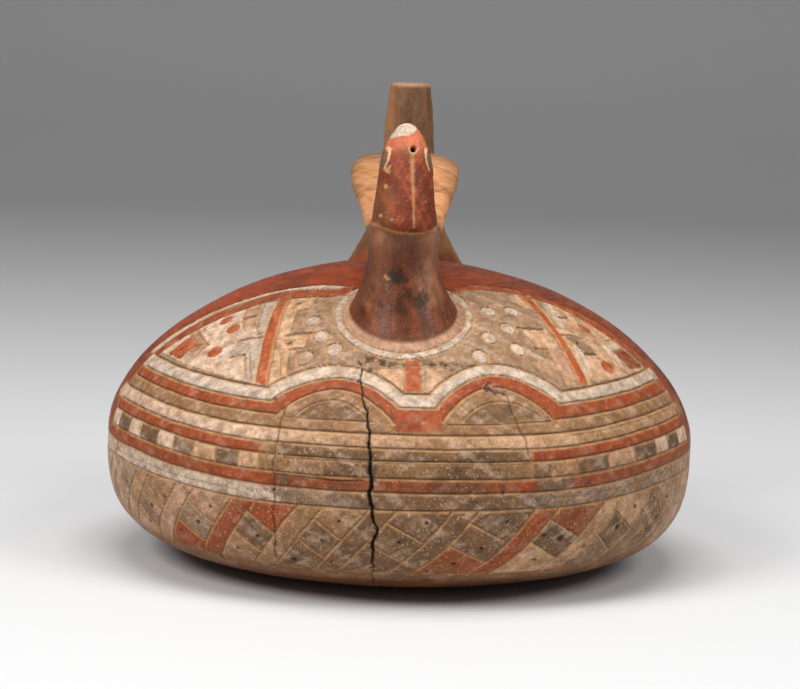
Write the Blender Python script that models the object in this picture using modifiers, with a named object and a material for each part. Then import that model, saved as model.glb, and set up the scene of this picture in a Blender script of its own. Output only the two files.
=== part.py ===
"""Bridge-and-spout bottle of low-fired clay, with a bird's head on its blind front neck.

The bottle is one hollow fired piece: a wide squat body, a hollow front neck that ends in a
bird's head, an open spout at the rear and a strap bridge between the two. The painted panel
round the front is outlined by incised lines. Metres, +Z up, the bird looks along -Y, and the
origin is at the middle of the underside.
"""

import math

import bmesh
import bpy
from mathutils import Vector
from mathutils.geometry import interpolate_bezier

NAME = "spouted_vessel"

# Body of the bottle
body_width = 0.260
widest_height = 0.0581
dome_rise = 0.0748
base_trim = 0.0010
wall = 0.0060
dome_roundness = (1.98, 1.69)
belly_roundness = (3.6, 3.6)
body_sides = 48
body_rings = 17
cavity_sides = 20
cavity_rings = 8

# Front neck and bird's head
neck_offset = 0.072
neck_waist_height = 0.147
neck_waist_radius = 0.0144
neck_base_radius = 0.0232
neck_flare = 2.13
neck_wall = 0.0050
head_height = 0.0505
head_sides = 16
head_hollow_height = 0.028
vent_diameter = 0.0024
vent_depth = 0.014
vent_side = 0.0022
vent_slope = (0.62, -0.78)
vent_place = (0.225, 0.765)

# Rear spout
spout_offset = 0.072
spout_height = 0.210
spout_waist_height = 0.165
spout_waist_radius = 0.0124
spout_base_radius = 0.033
spout_flare = 1.75
spout_lip_radius = 0.0094
spout_bore_radius = 0.0052
spout_sides = 16
lip_rounding = 0.0014

# Strap bridge
bridge_thickness = 0.0085
bridge_half_widths = (0.0150, 0.0169, 0.0188, 0.0211, 0.0234, 0.0243, 0.0246, 0.0228, 0.0130)
bridge_start_height = 0.1475
bridge_end_height = 0.1745
bridge_start_pull = 0.0165
bridge_end_pull = 0.0015

# Incised design: angles run round the body from the front, in degrees to the right, and climbs
# run along its surface from the widest ring, in metres. Plan points are (x, y) from above.
groove_width = 0.0018
groove_proud = 0.0001
crack_width = 0.0024
side_lift = 0.0045
panel_angle = 75.0
middle_angle = 25.5
line_step = 7.5
band_levels = (0.0220, 0.0165, 0.0103, 0.0050, -0.0018, -0.0075, -0.0145)
white_band_levels = (0.0275, 0.0338)
zigzag_floor = -0.0465
zigzag_floor_angle = 52.5
side_line_levels = (-0.0145, 0.0100, 0.0300)
edge_margin = 3.0
arch_margin = 9.0
stripe_tops = (-59.0, -45.5, -31.3, -18.0, -5.0, 10.0, 25.8, 41.0, 55.0)
stripe_width = 4.8
stripe_drift = 11.52
zigzag_top = -0.0145
tooth_levels = (-0.0193, -0.0285)
tooth_drop = 0.0095
collar_radius = 0.0290
spot_radius = 0.0032
arches = (
    (-13.5, 14.0, 0.0345, 0.0140),
    (-13.2, 12.8, 0.0277, 0.0135),
    (-12.8, 11.8, 0.0200, 0.0156),
    (-13.2, 7.2, 0.0212, 0.0090),
    (20.5, 14.5, 0.0350, 0.0163),
    (20.2, 13.1, 0.0286, 0.0162),
    (19.4, 11.4, 0.0215, 0.0171),
    (20.0, 8.3, 0.0225, 0.0090),
)
frame_lines = (
    ((-0.111, -0.028), (-0.080, -0.034), (-0.052, -0.039), (-0.029, -0.049)),
    ((-0.110, -0.034), (-0.086, -0.042), (-0.059, -0.046), (-0.030, -0.057)),
    ((0.026, -0.049), (0.044, -0.037), (0.064, -0.032), (0.089, -0.034), (0.110, -0.035)),
)
bar_lines = (
    ((-0.053, -0.048), (-0.058, -0.073), (-0.060, -0.097)),
    ((-0.048, -0.049), (-0.052, -0.075), (-0.055, -0.101)),
    ((0.050, -0.038), (0.063, -0.062), (0.074, -0.085)),
    ((0.054, -0.035), (0.066, -0.059), (0.078, -0.081)),
)
spots = (
    (-0.038, -0.074), (-0.034, -0.085), (-0.040, -0.095), (-0.028, -0.094),
    (0.046, -0.057), (0.036, -0.063), (0.044, -0.072), (0.036, -0.082), (0.048, -0.083),
    (0.032, -0.094),
)
crack_line = (
    (-8.5, 0.040), (-6.0, 0.020), (-5.0, 0.000), (-4.6, -0.014), (-3.5, -0.0227),
    (-4.4, -0.031), (-4.8, -0.060),
)


def clear_scene():
    for item in list(bpy.data.objects):
        bpy.data.objects.remove(item, do_unlink=True)


def new_collection(name):
    group = bpy.data.collections.new(name)
    bpy.context.scene.collection.children.link(group)
    return group


def clay_material():
    """Burnished red-brown clay."""
    material = bpy.data.materials.new("burnished_clay")
    material.use_nodes = True
    shader = material.node_tree.nodes["Principled BSDF"]
    shader.inputs["Base Color"].default_value = (0.30, 0.115, 0.050, 1.0)
    shader.inputs["Roughness"].default_value = 0.45
    shader.inputs["Metallic"].default_value = 0.0
    return material


def mesh_object(name, bm, group):
    """Turn a finished bmesh into an object in the given collection."""
    bmesh.ops.recalc_face_normals(bm, faces=bm.faces)
    mesh = bpy.data.meshes.new(name)
    bm.to_mesh(mesh)
    bm.free()
    item = bpy.data.objects.new(name, mesh)
    group.objects.link(item)
    return item


def as_cutter(item):
    item.hide_render = True
    item.display_type = "WIRE"
    return item


def superellipse_height(radius, half_width, rise, roundness):
    """Height over the widest ring of a rounded shell at a distance from its axis."""
    reach = min(radius / half_width, 1.0)
    return rise * (1.0 - reach ** roundness[0]) ** (1.0 / roundness[1])


def dome_height(x, y):
    """Height of the body's upper surface over the floor."""
    radius = math.hypot(x, y)
    return widest_height + superellipse_height(radius, body_width / 2, dome_rise, dome_roundness)


def shell_outline(inset):
    """Half outline of the body's shell, set in by a wall, as fine (radius, height) points."""
    half_width = body_width / 2 - inset
    rise = dome_rise - inset
    drop = widest_height + base_trim - inset
    floor = inset
    samples = 600
    outline = []
    for index in range(samples + 1):
        turn = math.pi / 2 * (1.0 - index / samples)
        radius = half_width * math.cos(turn) ** (2 / dome_roundness[0])
        height = rise * math.sin(turn) ** (2 / dome_roundness[1])
        outline.append((radius, widest_height + height))
    for index in range(1, samples + 1):
        turn = math.pi / 2 * index / samples
        radius = half_width * math.cos(turn) ** (2 / belly_roundness[0])
        height = widest_height - drop * math.sin(turn) ** (2 / belly_roundness[1])
        if height <= floor:
            break
        outline.append((radius, height))
    outline.append((outline[-1][0], floor))
    outline.append((0.0, floor))
    outline[0] = (0.0, outline[0][1])
    return outline


def even_points(outline, count):
    """Points at equal steps along an outline, which keep its ends and its sharp foot."""
    foot = outline[-2]
    lengths = [0.0]
    for start, end in zip(outline[:-2], outline[1:-1]):
        lengths.append(lengths[-1] + math.dist(start, end))
    total = lengths[-1]
    picked = []
    position = 0
    for step in range(count):
        target = total * step / count
        while lengths[position + 1] < target:
            position += 1
        start = outline[position]
        end = outline[position + 1]
        share = (target - lengths[position]) / max(lengths[position + 1] - lengths[position], 1e-9)
        picked.append((start[0] + (end[0] - start[0]) * share, start[1] + (end[1] - start[1]) * share))
    return picked + [foot, outline[-1]]


def turned(name, profile, sides, group):
    """Turn a profile of (radius, height) points, given top to bottom, about the Z axis."""
    mesh = bpy.data.meshes.new(name)
    edges = [(index, index + 1) for index in range(len(profile) - 1)]
    mesh.from_pydata([(radius, 0.0, height) for radius, height in profile], edges, [])
    item = bpy.data.objects.new(name, mesh)
    group.objects.link(item)
    screw = item.modifiers.new("turn", "SCREW")
    screw.axis = "Z"
    screw.angle = 2 * math.pi
    screw.steps = sides
    screw.render_steps = sides
    screw.use_merge_vertices = True
    screw.merge_threshold = 0.00001
    return item


def loft(name, rings, group):
    """Skin a closed solid over rings that all have the same number of points."""
    bm = bmesh.new()
    loops = []
    for ring in rings:
        verts = [bm.verts.new(point) for point in ring]
        edges = [bm.edges.new((verts[i - 1], verts[i])) for i in range(len(verts))]
        loops.append(edges)
    bmesh.ops.contextual_create(bm, geom=loops[0])
    bmesh.ops.contextual_create(bm, geom=loops[-1])
    for lower, upper in zip(loops[:-1], loops[1:]):
        bmesh.ops.bridge_loops(bm, edges=lower + upper)
    return mesh_object(name, bm, group)


def around(sides):
    return [2 * math.pi * index / sides for index in range(sides)]


def flare_ring(axis_y, share, waist_height, radius, sides):
    """One ring of a neck's flare, level at the waist and lying on the dome at its base."""
    ring = []
    for turn in around(sides):
        x = radius * math.sin(turn)
        y = axis_y - radius * math.cos(turn)
        height = waist_height + (dome_height(x, y) - waist_height) * share
        ring.append((x, y, height))
    return ring


def flare_rings(axis_y, waist_height, waist_radius, base_radius, flare, sides, count, inset=0.0):
    """Rings from inside the body's wall up to the waist of a neck, or of its hollow."""
    rings = []
    for step in range(count):
        share = 1.0 - step / count
        radius = waist_radius + (base_radius - waist_radius) * share ** flare - inset
        rings.append(flare_ring(axis_y, share, waist_height, radius, sides))
    root_depth = wall * 0.6
    root = [(x, y, z - root_depth) for x, y, z in rings[0]]
    return [root] + rings


def level_ring(center_y, height, half_width, front, back, sides, squareness=2.0, center_x=0.0):
    """A level ring with its own reach to the front, to the back and to each side."""
    power = 2.0 / squareness
    ring = []
    for turn in around(sides):
        sine = math.sin(turn)
        cosine = math.cos(turn)
        x = center_x + half_width * math.copysign(abs(sine) ** power, sine)
        reach = front if cosine > 0 else back
        y = center_y - reach * math.copysign(abs(cosine) ** power, cosine)
        ring.append((x, y, height))
    return ring


def head_rings(sides):
    """Bird's head over the neck's waist: broad bill hung in front, eyes, forehead, crown.

    Each row is a height, the reach to the front, to the back and to each side, as shares of
    the head's height, and how square the ring is.
    """
    rows = (
        (0.000, 0.290, 0.288, 0.288, 2.0),
        (0.085, 0.300, 0.292, 0.298, 2.0),
        (0.110, 0.420, 0.292, 0.272, 2.4),
        (0.170, 0.458, 0.288, 0.270, 2.6),
        (0.350, 0.405, 0.270, 0.244, 2.6),
        (0.530, 0.330, 0.245, 0.226, 2.5),
        (0.700, 0.255, 0.220, 0.194, 2.4),
        (0.830, 0.175, 0.180, 0.155, 2.2),
        (0.920, 0.100, 0.135, 0.100, 2.0),
        (0.970, 0.030, 0.070, 0.038, 2.0),
    )
    rings = []
    for height, front, back, side, squareness in rows:
        level = neck_waist_height + height * head_height
        sizes = [share * head_height for share in (side, front, back)]
        rings.append(level_ring(-neck_offset, level, *sizes, sides, squareness))
    return rings


def front_neck(group):
    flare = flare_rings(-neck_offset, neck_waist_height, neck_waist_radius, neck_base_radius,
                        neck_flare, head_sides, 6)
    return loft("front_neck", flare + head_rings(head_sides), group)


def front_neck_hollow(group):
    """Hollow of the blind neck, from the body's cavity into the head."""
    sides = 12
    inner = flare_rings(-neck_offset, neck_waist_height, neck_waist_radius, neck_base_radius,
                        neck_flare, sides, 3, inset=neck_wall)
    inner[0] = [(x, y, z - 3 * wall) for x, y, z in inner[1]]
    radius = neck_waist_radius - neck_wall
    middle = neck_waist_height + head_hollow_height / 2
    top = neck_waist_height + head_hollow_height
    shafts = (
        (neck_waist_height, radius),
        (middle, radius * 0.85),
        (top, radius * 0.40),
    )
    for height, reach in shafts:
        inner.append(level_ring(-neck_offset, height, reach, reach, reach, sides))
    return as_cutter(loft("front_neck_hollow", inner, group))


def spout_radius(height):
    """Outer radius of the spout above its waist."""
    share = (height - spout_waist_height) / (spout_height - lip_rounding - spout_waist_height)
    return spout_waist_radius + (spout_lip_radius - spout_waist_radius) * max(share, 0.0) ** 2


def rear_spout(group):
    rings = flare_rings(spout_offset, spout_waist_height, spout_waist_radius, spout_base_radius,
                        spout_flare, spout_sides, 6)
    shaft_steps = 4
    for step in range(shaft_steps + 1):
        share = step / shaft_steps
        height = spout_waist_height + (spout_height - lip_rounding - spout_waist_height) * share
        radius = spout_radius(height)
        rings.append(level_ring(spout_offset, height, radius, radius, radius, spout_sides))
    lip_top = spout_lip_radius - lip_rounding
    rings.append(level_ring(spout_offset, spout_height, lip_top, lip_top, lip_top, spout_sides))
    return loft("rear_spout", rings, group)


def spout_bore(group):
    """Open bore of the spout, widening into the body's cavity."""
    sides = 16
    inner = flare_rings(spout_offset, spout_waist_height, spout_waist_radius, spout_base_radius,
                        spout_flare, sides, 3, inset=spout_waist_radius - spout_bore_radius)
    mouth = [(x, y, z - 5 * wall) for x, y, z in inner[2]]
    inner = [mouth] + inner[2:]
    above = spout_height + wall
    for height in (spout_waist_height, above):
        inner.append(level_ring(spout_offset, height, spout_bore_radius, spout_bore_radius,
                                spout_bore_radius, sides))
    return as_cutter(loft("spout_bore", inner, group))


def bridge_path():
    """Centre line of the strap, rising steeply off the neck and levelling to the spout."""
    start = Vector((0, -neck_offset + 0.5 * neck_waist_radius, bridge_start_height))
    start_pull = Vector((0, -0.62 * neck_offset, bridge_start_height + bridge_start_pull))
    end_pull = Vector((0, 0.15 * spout_offset, bridge_end_height - bridge_end_pull))
    end = Vector((0, spout_offset - 0.7 * spout_waist_radius, bridge_end_height))
    return interpolate_bezier(start, start_pull, end_pull, end, len(bridge_half_widths))


def bridge(group):
    """Strap bridge: flat, widening towards the spout, with rounded shoulders and edges."""
    path = bridge_path()
    half_thick = bridge_thickness / 2
    rings = []
    for index, (point, half_width) in enumerate(zip(path, bridge_half_widths)):
        ahead = path[min(index + 1, len(path) - 1)] - path[max(index - 1, 0)]
        ahead.normalize()
        upright = Vector((0, -ahead.z, ahead.y))
        inner = half_width - half_thick * 0.8
        section = (
            (half_width, 0.0),
            (half_width - half_thick * 0.3, 0.7),
            (inner - half_thick * 0.6, 1.0),
            (0.0, 1.0),
        )
        upper = [(x, level) for x, level in section] + [(-x, level) for x, level in section[-2::-1]]
        lower = [(x, -level) for x, level in upper[-2:0:-1]]
        ring = [point + Vector((x, 0, 0)) + upright * (level * half_thick) for x, level in upper + lower]
        rings.append(ring)
    return loft("bridge", rings, group)


def vent(group):
    """Small pierced hole high on the forehead, sloping down into the head's hollow."""
    level = neck_waist_height + vent_place[1] * head_height
    front = -neck_offset - vent_place[0] * head_height
    sides = 8
    radius = vent_diameter / 2
    slope = Vector((0, *vent_slope))
    mouth = Vector((vent_side, front, level)) - slope * vent_depth * 0.3
    rings = []
    for depth in (0.0, vent_depth * 1.3):
        center = mouth + slope * depth
        across = Vector((1, 0, 0))
        upright = slope.cross(across).normalized()
        ring = [center + across * radius * math.cos(turn) + upright * radius * math.sin(turn)
                for turn in around(sides)]
        rings.append(ring)
    return as_cutter(loft("vent", rings, group))


def join_solids(base, others):
    for item in others:
        union = base.modifiers.new("join " + item.name, "BOOLEAN")
        union.operation = "UNION"
        union.solver = "EXACT"
        union.object = item
        as_cutter(item)


def cut_solids(base, cutters):
    for item in cutters:
        cut = base.modifiers.new("cut " + item.name, "BOOLEAN")
        cut.operation = "DIFFERENCE"
        cut.solver = "EXACT"
        cut.object = item


def facet_share(angle):
    """How far the body's flat facets lie inside its round outline at an angle, as a share."""
    width = 2 * math.pi / body_sides
    offset = (math.radians(angle) + math.pi / 2) % width - width / 2
    return math.cos(width / 2) / math.cos(offset)


def climb_table():
    """The body's faceted outline as (climb, radius, height), from its foot up to its crown."""
    corners = even_points(shell_outline(0.0), body_rings)[:-1]
    corners.reverse()
    table = [(0.0, *corners[0])]
    for start, end in zip(corners[:-1], corners[1:]):
        table.append((table[-1][0] + math.dist(start, end), *end))
    for lower, upper in zip(table[:-1], table[1:]):
        if upper[2] >= widest_height:
            break
    share = (widest_height - lower[2]) / (upper[2] - lower[2])
    widest = lower[0] + (upper[0] - lower[0]) * share
    return [(climb - widest, radius, height) for climb, radius, height in table]


def on_body(table, angle, climb):
    """Point on the body's faceted surface at an angle and a climb from the widest ring."""
    for lower, upper in zip(table[:-1], table[1:]):
        if upper[0] >= climb:
            break
    share = (climb - lower[0]) / (upper[0] - lower[0])
    radius = (lower[1] + (upper[1] - lower[1]) * share) * facet_share(angle) + groove_proud
    height = lower[2] + (upper[2] - lower[2]) * share
    turn = math.radians(angle)
    return Vector((radius * math.sin(turn), -radius * math.cos(turn), height))


def on_dome(table, x, y):
    """Point on the dome's faceted surface under or over a plan point."""
    radius = math.hypot(x, y) / facet_share(math.degrees(math.atan2(x, -y)))
    crown_side = [row for row in table if row[0] > 0]
    for lower, upper in zip(crown_side[:-1], crown_side[1:]):
        if upper[1] <= radius:
            break
    share = (radius - lower[1]) / (upper[1] - lower[1])
    return Vector((x, y, lower[2] + (upper[2] - lower[2]) * share + groove_proud))


def lifted(angle, level):
    """A level that climbs from the middle of the panel towards its sides."""
    share = min(max((abs(angle) - middle_angle) / 45.0, 0.0), 1.0)
    return level + side_lift * share * share * (3 - 2 * share)


def steps_between(start, end, step):
    count = max(1, math.ceil(abs(end - start) / step))
    return [start + (end - start) * index / count for index in range(count + 1)]


def band_line(start, end, level):
    return [(angle, lifted(angle, level)) for angle in steps_between(start, end, line_step)]


def arch_line(center, half_width, foot, rise):
    """A rounded arch that stands on a level foot."""
    line = []
    for share in steps_between(-1.0, 1.0, 0.25):
        bow = math.cos(math.pi / 2 * share * 0.999) ** 0.75
        line.append((center + half_width * share, lifted(center, foot) + rise * bow))
    return line


def stripe_edge(top, climb):
    """Angle of a leaning stripe's edge at a climb, from its angle at the band's upper line."""
    return top - stripe_drift * (zigzag_top - climb) / (zigzag_top - zigzag_floor)


def zigzag_lines():
    """Leaning stripes with a slanted block between each two of them."""
    lines = []
    for top in stripe_tops:
        for edge in (top, top + stripe_width):
            ends = [(stripe_edge(edge, climb), lifted(edge, climb))
                    for climb in (zigzag_top, 0.5 * (zigzag_top + zigzag_floor), zigzag_floor)]
            lines.append(ends)
    for top, following in zip(stripe_tops[:-1], stripe_tops[1:]):
        for level in tooth_levels:
            start = stripe_edge(top + stripe_width, level)
            end = stripe_edge(following, level - tooth_drop)
            lines.append([(start, lifted(start, level)), (end, lifted(end, level - tooth_drop))])
    return lines


def surface_lines(table):
    """All incised lines, and the crack, as lists of points on the body."""
    lines = [band_line(-panel_angle, panel_angle, level) for level in band_levels]
    lines.append(band_line(-zigzag_floor_angle, zigzag_floor_angle, zigzag_floor))
    for level in white_band_levels:
        lines.append(band_line(-panel_angle + edge_margin, -middle_angle - edge_margin, level))
        lines.append(band_line(middle_angle + arch_margin, panel_angle - edge_margin, level))
    for side in (-1, 1):
        edge = side * panel_angle
        lines.append([(edge, lifted(edge, climb)) for climb in side_line_levels])
        post = side * middle_angle
        lines.append([(post, climb) for climb in (band_levels[5], band_levels[2])])
    lines += [arch_line(*arch) for arch in arches]
    lines += zigzag_lines()
    placed = [[on_body(table, angle, climb) for angle, climb in line] for line in lines]
    for plan_line in frame_lines + bar_lines:
        placed.append([on_dome(table, x, y) for x, y in densified(plan_line)])
    crack = [on_body(table, angle, climb) for angle, climb in crack_line]
    return placed, crack


def densified(plan_line):
    """Plan points with one more point between each two, on the straight line."""
    points = [plan_line[0]]
    for start, end in zip(plan_line[:-1], plan_line[1:]):
        points.append(((start[0] + end[0]) / 2, (start[1] + end[1]) / 2))
        points.append(end)
    return points


def ring_line(table, center, radius, sides):
    """A ring lying on the dome, as seen from above."""
    return [on_dome(table, center[0] + radius * math.sin(turn), center[1] - radius * math.cos(turn))
            for turn in around(sides)]


def groove(name, points, width, group, closed=False):
    """A four-sided tube along a line of the surface, which cuts a V-shaped groove."""
    curve = bpy.data.curves.new(name, "CURVE")
    curve.dimensions = "3D"
    curve.bevel_depth = width / 2
    curve.bevel_resolution = 0
    curve.use_fill_caps = not closed
    spline = curve.splines.new("POLY")
    spline.points.add(len(points) - 1)
    for spot, point in zip(spline.points, points):
        spot.co = (*point, 1.0)
    spline.use_cyclic_u = closed
    source = bpy.data.objects.new(name + "_line", curve)
    group.objects.link(source)
    bpy.context.view_layer.update()
    evaluated = source.evaluated_get(bpy.context.evaluated_depsgraph_get())
    mesh = bpy.data.meshes.new_from_object(evaluated)
    bpy.data.objects.remove(source, do_unlink=True)
    bm = bmesh.new()
    bm.from_mesh(mesh)
    bpy.data.meshes.remove(mesh)
    bmesh.ops.remove_doubles(bm, verts=bm.verts, dist=0.00001)
    return as_cutter(mesh_object(name, bm, group))


def cut_design(base, group):
    """Cut the incised lines and the open crack into the body."""
    table = climb_table()
    lines, crack = surface_lines(table)
    for index, points in enumerate(lines):
        groove(f"groove_{index}", points, groove_width, group)
    groove("crack", crack, crack_width, group)
    neck_foot = (0.0, -neck_offset)
    groove("collar", ring_line(table, neck_foot, collar_radius, 16), groove_width, group, closed=True)
    for index, center in enumerate(spots):
        groove(f"spot_{index}", ring_line(table, center, spot_radius, 5), 0.6 * groove_width, group,
               closed=True)
    cut = base.modifiers.new("incised design", "BOOLEAN")
    cut.operation = "DIFFERENCE"
    cut.solver = "EXACT"
    cut.operand_type = "COLLECTION"
    cut.collection = group


def main():
    clear_scene()
    parts = new_collection(NAME)
    cutters = new_collection("cutters")
    grooves = new_collection("grooves")
    vessel = turned(NAME, even_points(shell_outline(0.0), body_rings), body_sides, parts)
    vessel.data.materials.append(clay_material())
    necks = [front_neck(cutters), rear_spout(cutters), bridge(cutters)]
    join_solids(vessel, necks)
    cavity = as_cutter(turned("cavity", even_points(shell_outline(wall), cavity_rings),
                              cavity_sides, cutters))
    hollows = [cavity, front_neck_hollow(cutters), spout_bore(cutters), vent(cutters)]
    cut_solids(vessel, hollows)
    cut_design(vessel, grooves)


main()
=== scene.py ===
"""Looks of the bridge-and-spout bottle: low-fired clay, burnished, painted in slips and incised.

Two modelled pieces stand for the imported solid: the hollow body with its incised and painted front
panel, and the necks, the bird's head and the strap bridge between them. Metres, +Z up, the bird
looks along -Y. The design is drawn as it was by hand, unrolled: an angle round the body from the
front, in degrees to the right, and a climb along its surface from the widest ring, in millimetres.
"""

import math

import bmesh
import bpy
import numpy as np
from mathutils import Matrix, Vector, kdtree
from mathutils.geometry import interpolate_bezier


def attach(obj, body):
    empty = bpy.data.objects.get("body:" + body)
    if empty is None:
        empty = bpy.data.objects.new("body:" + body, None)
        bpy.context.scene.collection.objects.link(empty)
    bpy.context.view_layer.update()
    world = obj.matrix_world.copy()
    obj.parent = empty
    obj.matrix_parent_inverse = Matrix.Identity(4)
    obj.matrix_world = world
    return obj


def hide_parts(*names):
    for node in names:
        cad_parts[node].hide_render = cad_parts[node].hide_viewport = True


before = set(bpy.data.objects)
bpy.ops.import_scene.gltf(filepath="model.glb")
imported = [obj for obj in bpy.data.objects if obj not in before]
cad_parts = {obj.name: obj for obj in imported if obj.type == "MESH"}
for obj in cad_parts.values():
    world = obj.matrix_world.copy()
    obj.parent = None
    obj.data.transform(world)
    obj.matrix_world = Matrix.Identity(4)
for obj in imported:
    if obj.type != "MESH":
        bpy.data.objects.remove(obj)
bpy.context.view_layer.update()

MM = 0.001

# Shape of the body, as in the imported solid
body_radius = 0.130
widest_height = 0.0581
dome_rise = 0.0748
base_trim = 0.0010
wall = 0.0060
dome_roundness = (1.98, 1.69)
belly_roundness = (3.6, 3.6)

# Necks and bridge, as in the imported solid; a shape ends in its foot's radius and the flare's power
neck_axis = -0.072
neck_waist_height = 0.147
neck_waist_radius = 0.0144
neck_shape = (neck_axis, neck_waist_height, neck_waist_radius, 0.0232, 2.13)
neck_wall = 0.005
head_height = 0.0505
head_hollow_height = 0.028
spout_axis = 0.072
spout_height = 0.210
spout_waist_height = 0.165
spout_waist_radius = 0.0124
spout_shape = (spout_axis, spout_waist_height, spout_waist_radius, 0.033, 1.75)
spout_lip_radius = 0.0094
spout_bore_radius = 0.0052
bridge_thickness = 0.0085
bridge_half_widths = (0.0150, 0.0169, 0.0188, 0.0211, 0.0234, 0.0243, 0.0246, 0.0228, 0.0130)
bridge_start_height = 0.1475
bridge_end_height = 0.1745
neck_openings = ((neck_axis, 0.0190), (spout_axis, 0.0255))

# Fineness of the meshes, and how far the hand-built wall wavers
outer_step, outer_turns = 0.0052, 128
inner_step, inner_turns = 0.011, 56
finest_edge = 0.64 * MM
snap_reach = 0.20 * MM
skin_voxel = 1.0 * MM
wall_waver = 0.35 * MM
neck_sides = 64

# Slips and clays, as the eye sees them in plain light
colours = {
    "red": (155, 67, 25),
    "bright_red": (176, 79, 33),
    "dull_red": (134, 62, 32),
    "cream": (212, 166, 126),
    "pale_cream": (226, 192, 164),
    "white": (211, 188, 166),
    "lavender": (150, 124, 106),
    "lilac": (190, 166, 146),
    "pink": (190, 144, 114),
    "tan": (168, 124, 84),
    "pinkish_tan": (180, 136, 104),
    "ground": (166, 131, 100),
    "olive": (152, 110, 72),
    "dark_olive": (116, 85, 54),
    "grey_brown": (106, 79, 56),
    "grey_tan": (142, 112, 84),
    "brown": (122, 78, 44),
    "earth": (128, 88, 50),
    "burnish": (146, 58, 17),
    "burnish_glow": (192, 92, 38),
    "dark_burnish": (72, 33, 16),
    "neck_brown": (104, 55, 31),
    "neck_glow": (168, 120, 88),
    "coral": (208, 114, 78),
    "face_red": (117, 42, 14),
    "strap_tan": (220, 154, 100),
    "strap_brown": (128, 92, 54),
    "spout_brown": (110, 80, 54),
    "eye_grey": (108, 86, 64),
    "cut_clay_and_lit_edge": (200, 152, 98),
    "dirt_and_cut_shadow": (56, 34, 18),
    "fleck": (218, 194, 164),
    "smoke": (92, 70, 53),
    "soot_and_hole_shade": (28, 22, 18),
}


def linear(name):
    """A colour turned into the linear values that a shader works in."""
    values = np.array(colours[name]) / 255
    return np.where(values <= 0.04045, values / 12.92, ((values + 0.055) / 1.055) ** 2.4)


def smooth_step(value):
    share = np.clip(value, 0.0, 1.0)
    return share * share * (3 - 2 * share)


def rising(value, start, width):
    return smooth_step((value - start) / width)


def falling(value, end, width):
    return smooth_step((end - value) / width)


def hand_wave(first, second, seed):
    """A gentle wander between -1 and 1, for lines and surfaces made by hand."""
    total = 0.0
    for order, (along, across) in enumerate(((1.0, 0.7), (-1.9, 1.6), (3.1, 2.3), (4.7, -3.9))):
        total = total + np.sin(along * first + across * second + seed + 1.7 * order) / (1 + 0.6 * order)
    return total / 2.6


def body_profile(inset):
    """Fine (climb, radius, height) arrays of the shell's outline, from its foot to its crown."""
    turn = np.linspace(0, math.pi / 2, 1200)
    half = body_radius - inset
    rise = dome_rise - inset
    drop = widest_height + base_trim - inset
    cosine = np.clip(np.cos(turn), 0, 1)
    sine = np.sin(turn)
    low_radius = half * cosine ** (2 / belly_roundness[0])
    low_height = widest_height - drop * sine ** (2 / belly_roundness[1])
    kept = low_height > inset
    low_radius = np.append(low_radius[kept], low_radius[kept][-1])
    low_height = np.append(low_height[kept], inset)
    radius = np.concatenate([low_radius[::-1], (half * cosine ** (2 / dome_roundness[0]))[1:]])
    height = np.concatenate([low_height[::-1], (widest_height + rise * sine ** (2 / dome_roundness[1]))[1:]])
    radius[-1] = 0.0
    steps = np.hypot(np.diff(radius), np.diff(height))
    climb = np.concatenate([[0.0], np.cumsum(steps)])
    return climb - climb[len(low_radius) - 1], radius, height


climbs, radii, heights = body_profile(0.0)
bearings = np.arctan2(heights - widest_height, radii)
slopes = np.arctan2(np.gradient(heights), np.gradient(radii))


def on_body(angle, climb):
    """Points of the body's surface at angles in degrees and climbs in millimetres."""
    turn = np.radians(angle)
    radius = np.interp(np.asarray(climb) * MM, climbs, radii)
    height = np.interp(np.asarray(climb) * MM, climbs, heights)
    return np.stack([radius * np.sin(turn), -radius * np.cos(turn), height], axis=-1)


def unrolled(points):
    """Angle in degrees and climb in millimetres of points on or near the body."""
    radius = np.hypot(points[:, 0], points[:, 1])
    angle = np.degrees(np.arctan2(points[:, 0], -points[:, 1]))
    climb = np.interp(np.arctan2(points[:, 2] - widest_height, radius), bearings, climbs)
    return angle, climb / MM


def outward(angle, climb):
    """Unit vectors that point straight out of the body's surface."""
    slope = np.interp(climb * MM, climbs, slopes)
    turn = np.radians(angle)
    flat = np.sin(slope)
    return np.stack([flat * np.sin(turn), -flat * np.cos(turn), -np.cos(slope)], axis=-1)


def dome_height(x, y):
    """Height of the body's upper surface over the floor."""
    reach = np.clip(np.hypot(x, y) / body_radius, 0, 1)
    return widest_height + dome_rise * (1 - reach ** dome_roundness[0]) ** (1 / dome_roundness[1])


def from_plan(x, y):
    """Unrolled place of a point of the dome that is given as seen from above, in millimetres."""
    radius = math.hypot(x, y) * MM
    top = climbs > 0
    climb = np.interp(radius, radii[top][::-1], climbs[top][::-1])
    return math.degrees(math.atan2(x, -y)), climb / MM


# Design of the panel, drawn by hand
panel_side = 75.5
low_side = 83.5
panel_edge = 3.5
levels = {"olive": 22.0, "cream": 16.2, "red": 10.3, "checks": 5.2, "thin_red": -1.8, "pale": -7.5,
          "zigzag": -14.5, "foot": -46.5}
middle_left, middle_right = -26.2, 24.5
mended_reds = ((-22, -19.8), (25.3, 33.2))
worn_cells = (("olive", -90, -22.8, 90), ("olive", -21.6, -19.3, 4.2), ("pink", -19.3, -13.7, 4.2),
              ("grey_brown", -13.7, -6.9, 4.2), ("olive", -4, 90, 4.4), ("tan", -4, 3.4, 4.4))
diamonds = ((-19.3, 9.2), (-28.8, 9.7))
stripe_tops = (-73.5, -59.0, -45.5, -31.3, -18.0, -5.0, 10.0, 25.8, 41.0, 54.8, 66.3)
stripe_colours = ("grey_tan", "tan", "pink", "red", "tan", "grey_brown", "grey_brown", "red", "cream",
                  "grey_tan", "grey_tan")
stripe_width = 4.8
stripe_lean = 0.36
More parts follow.
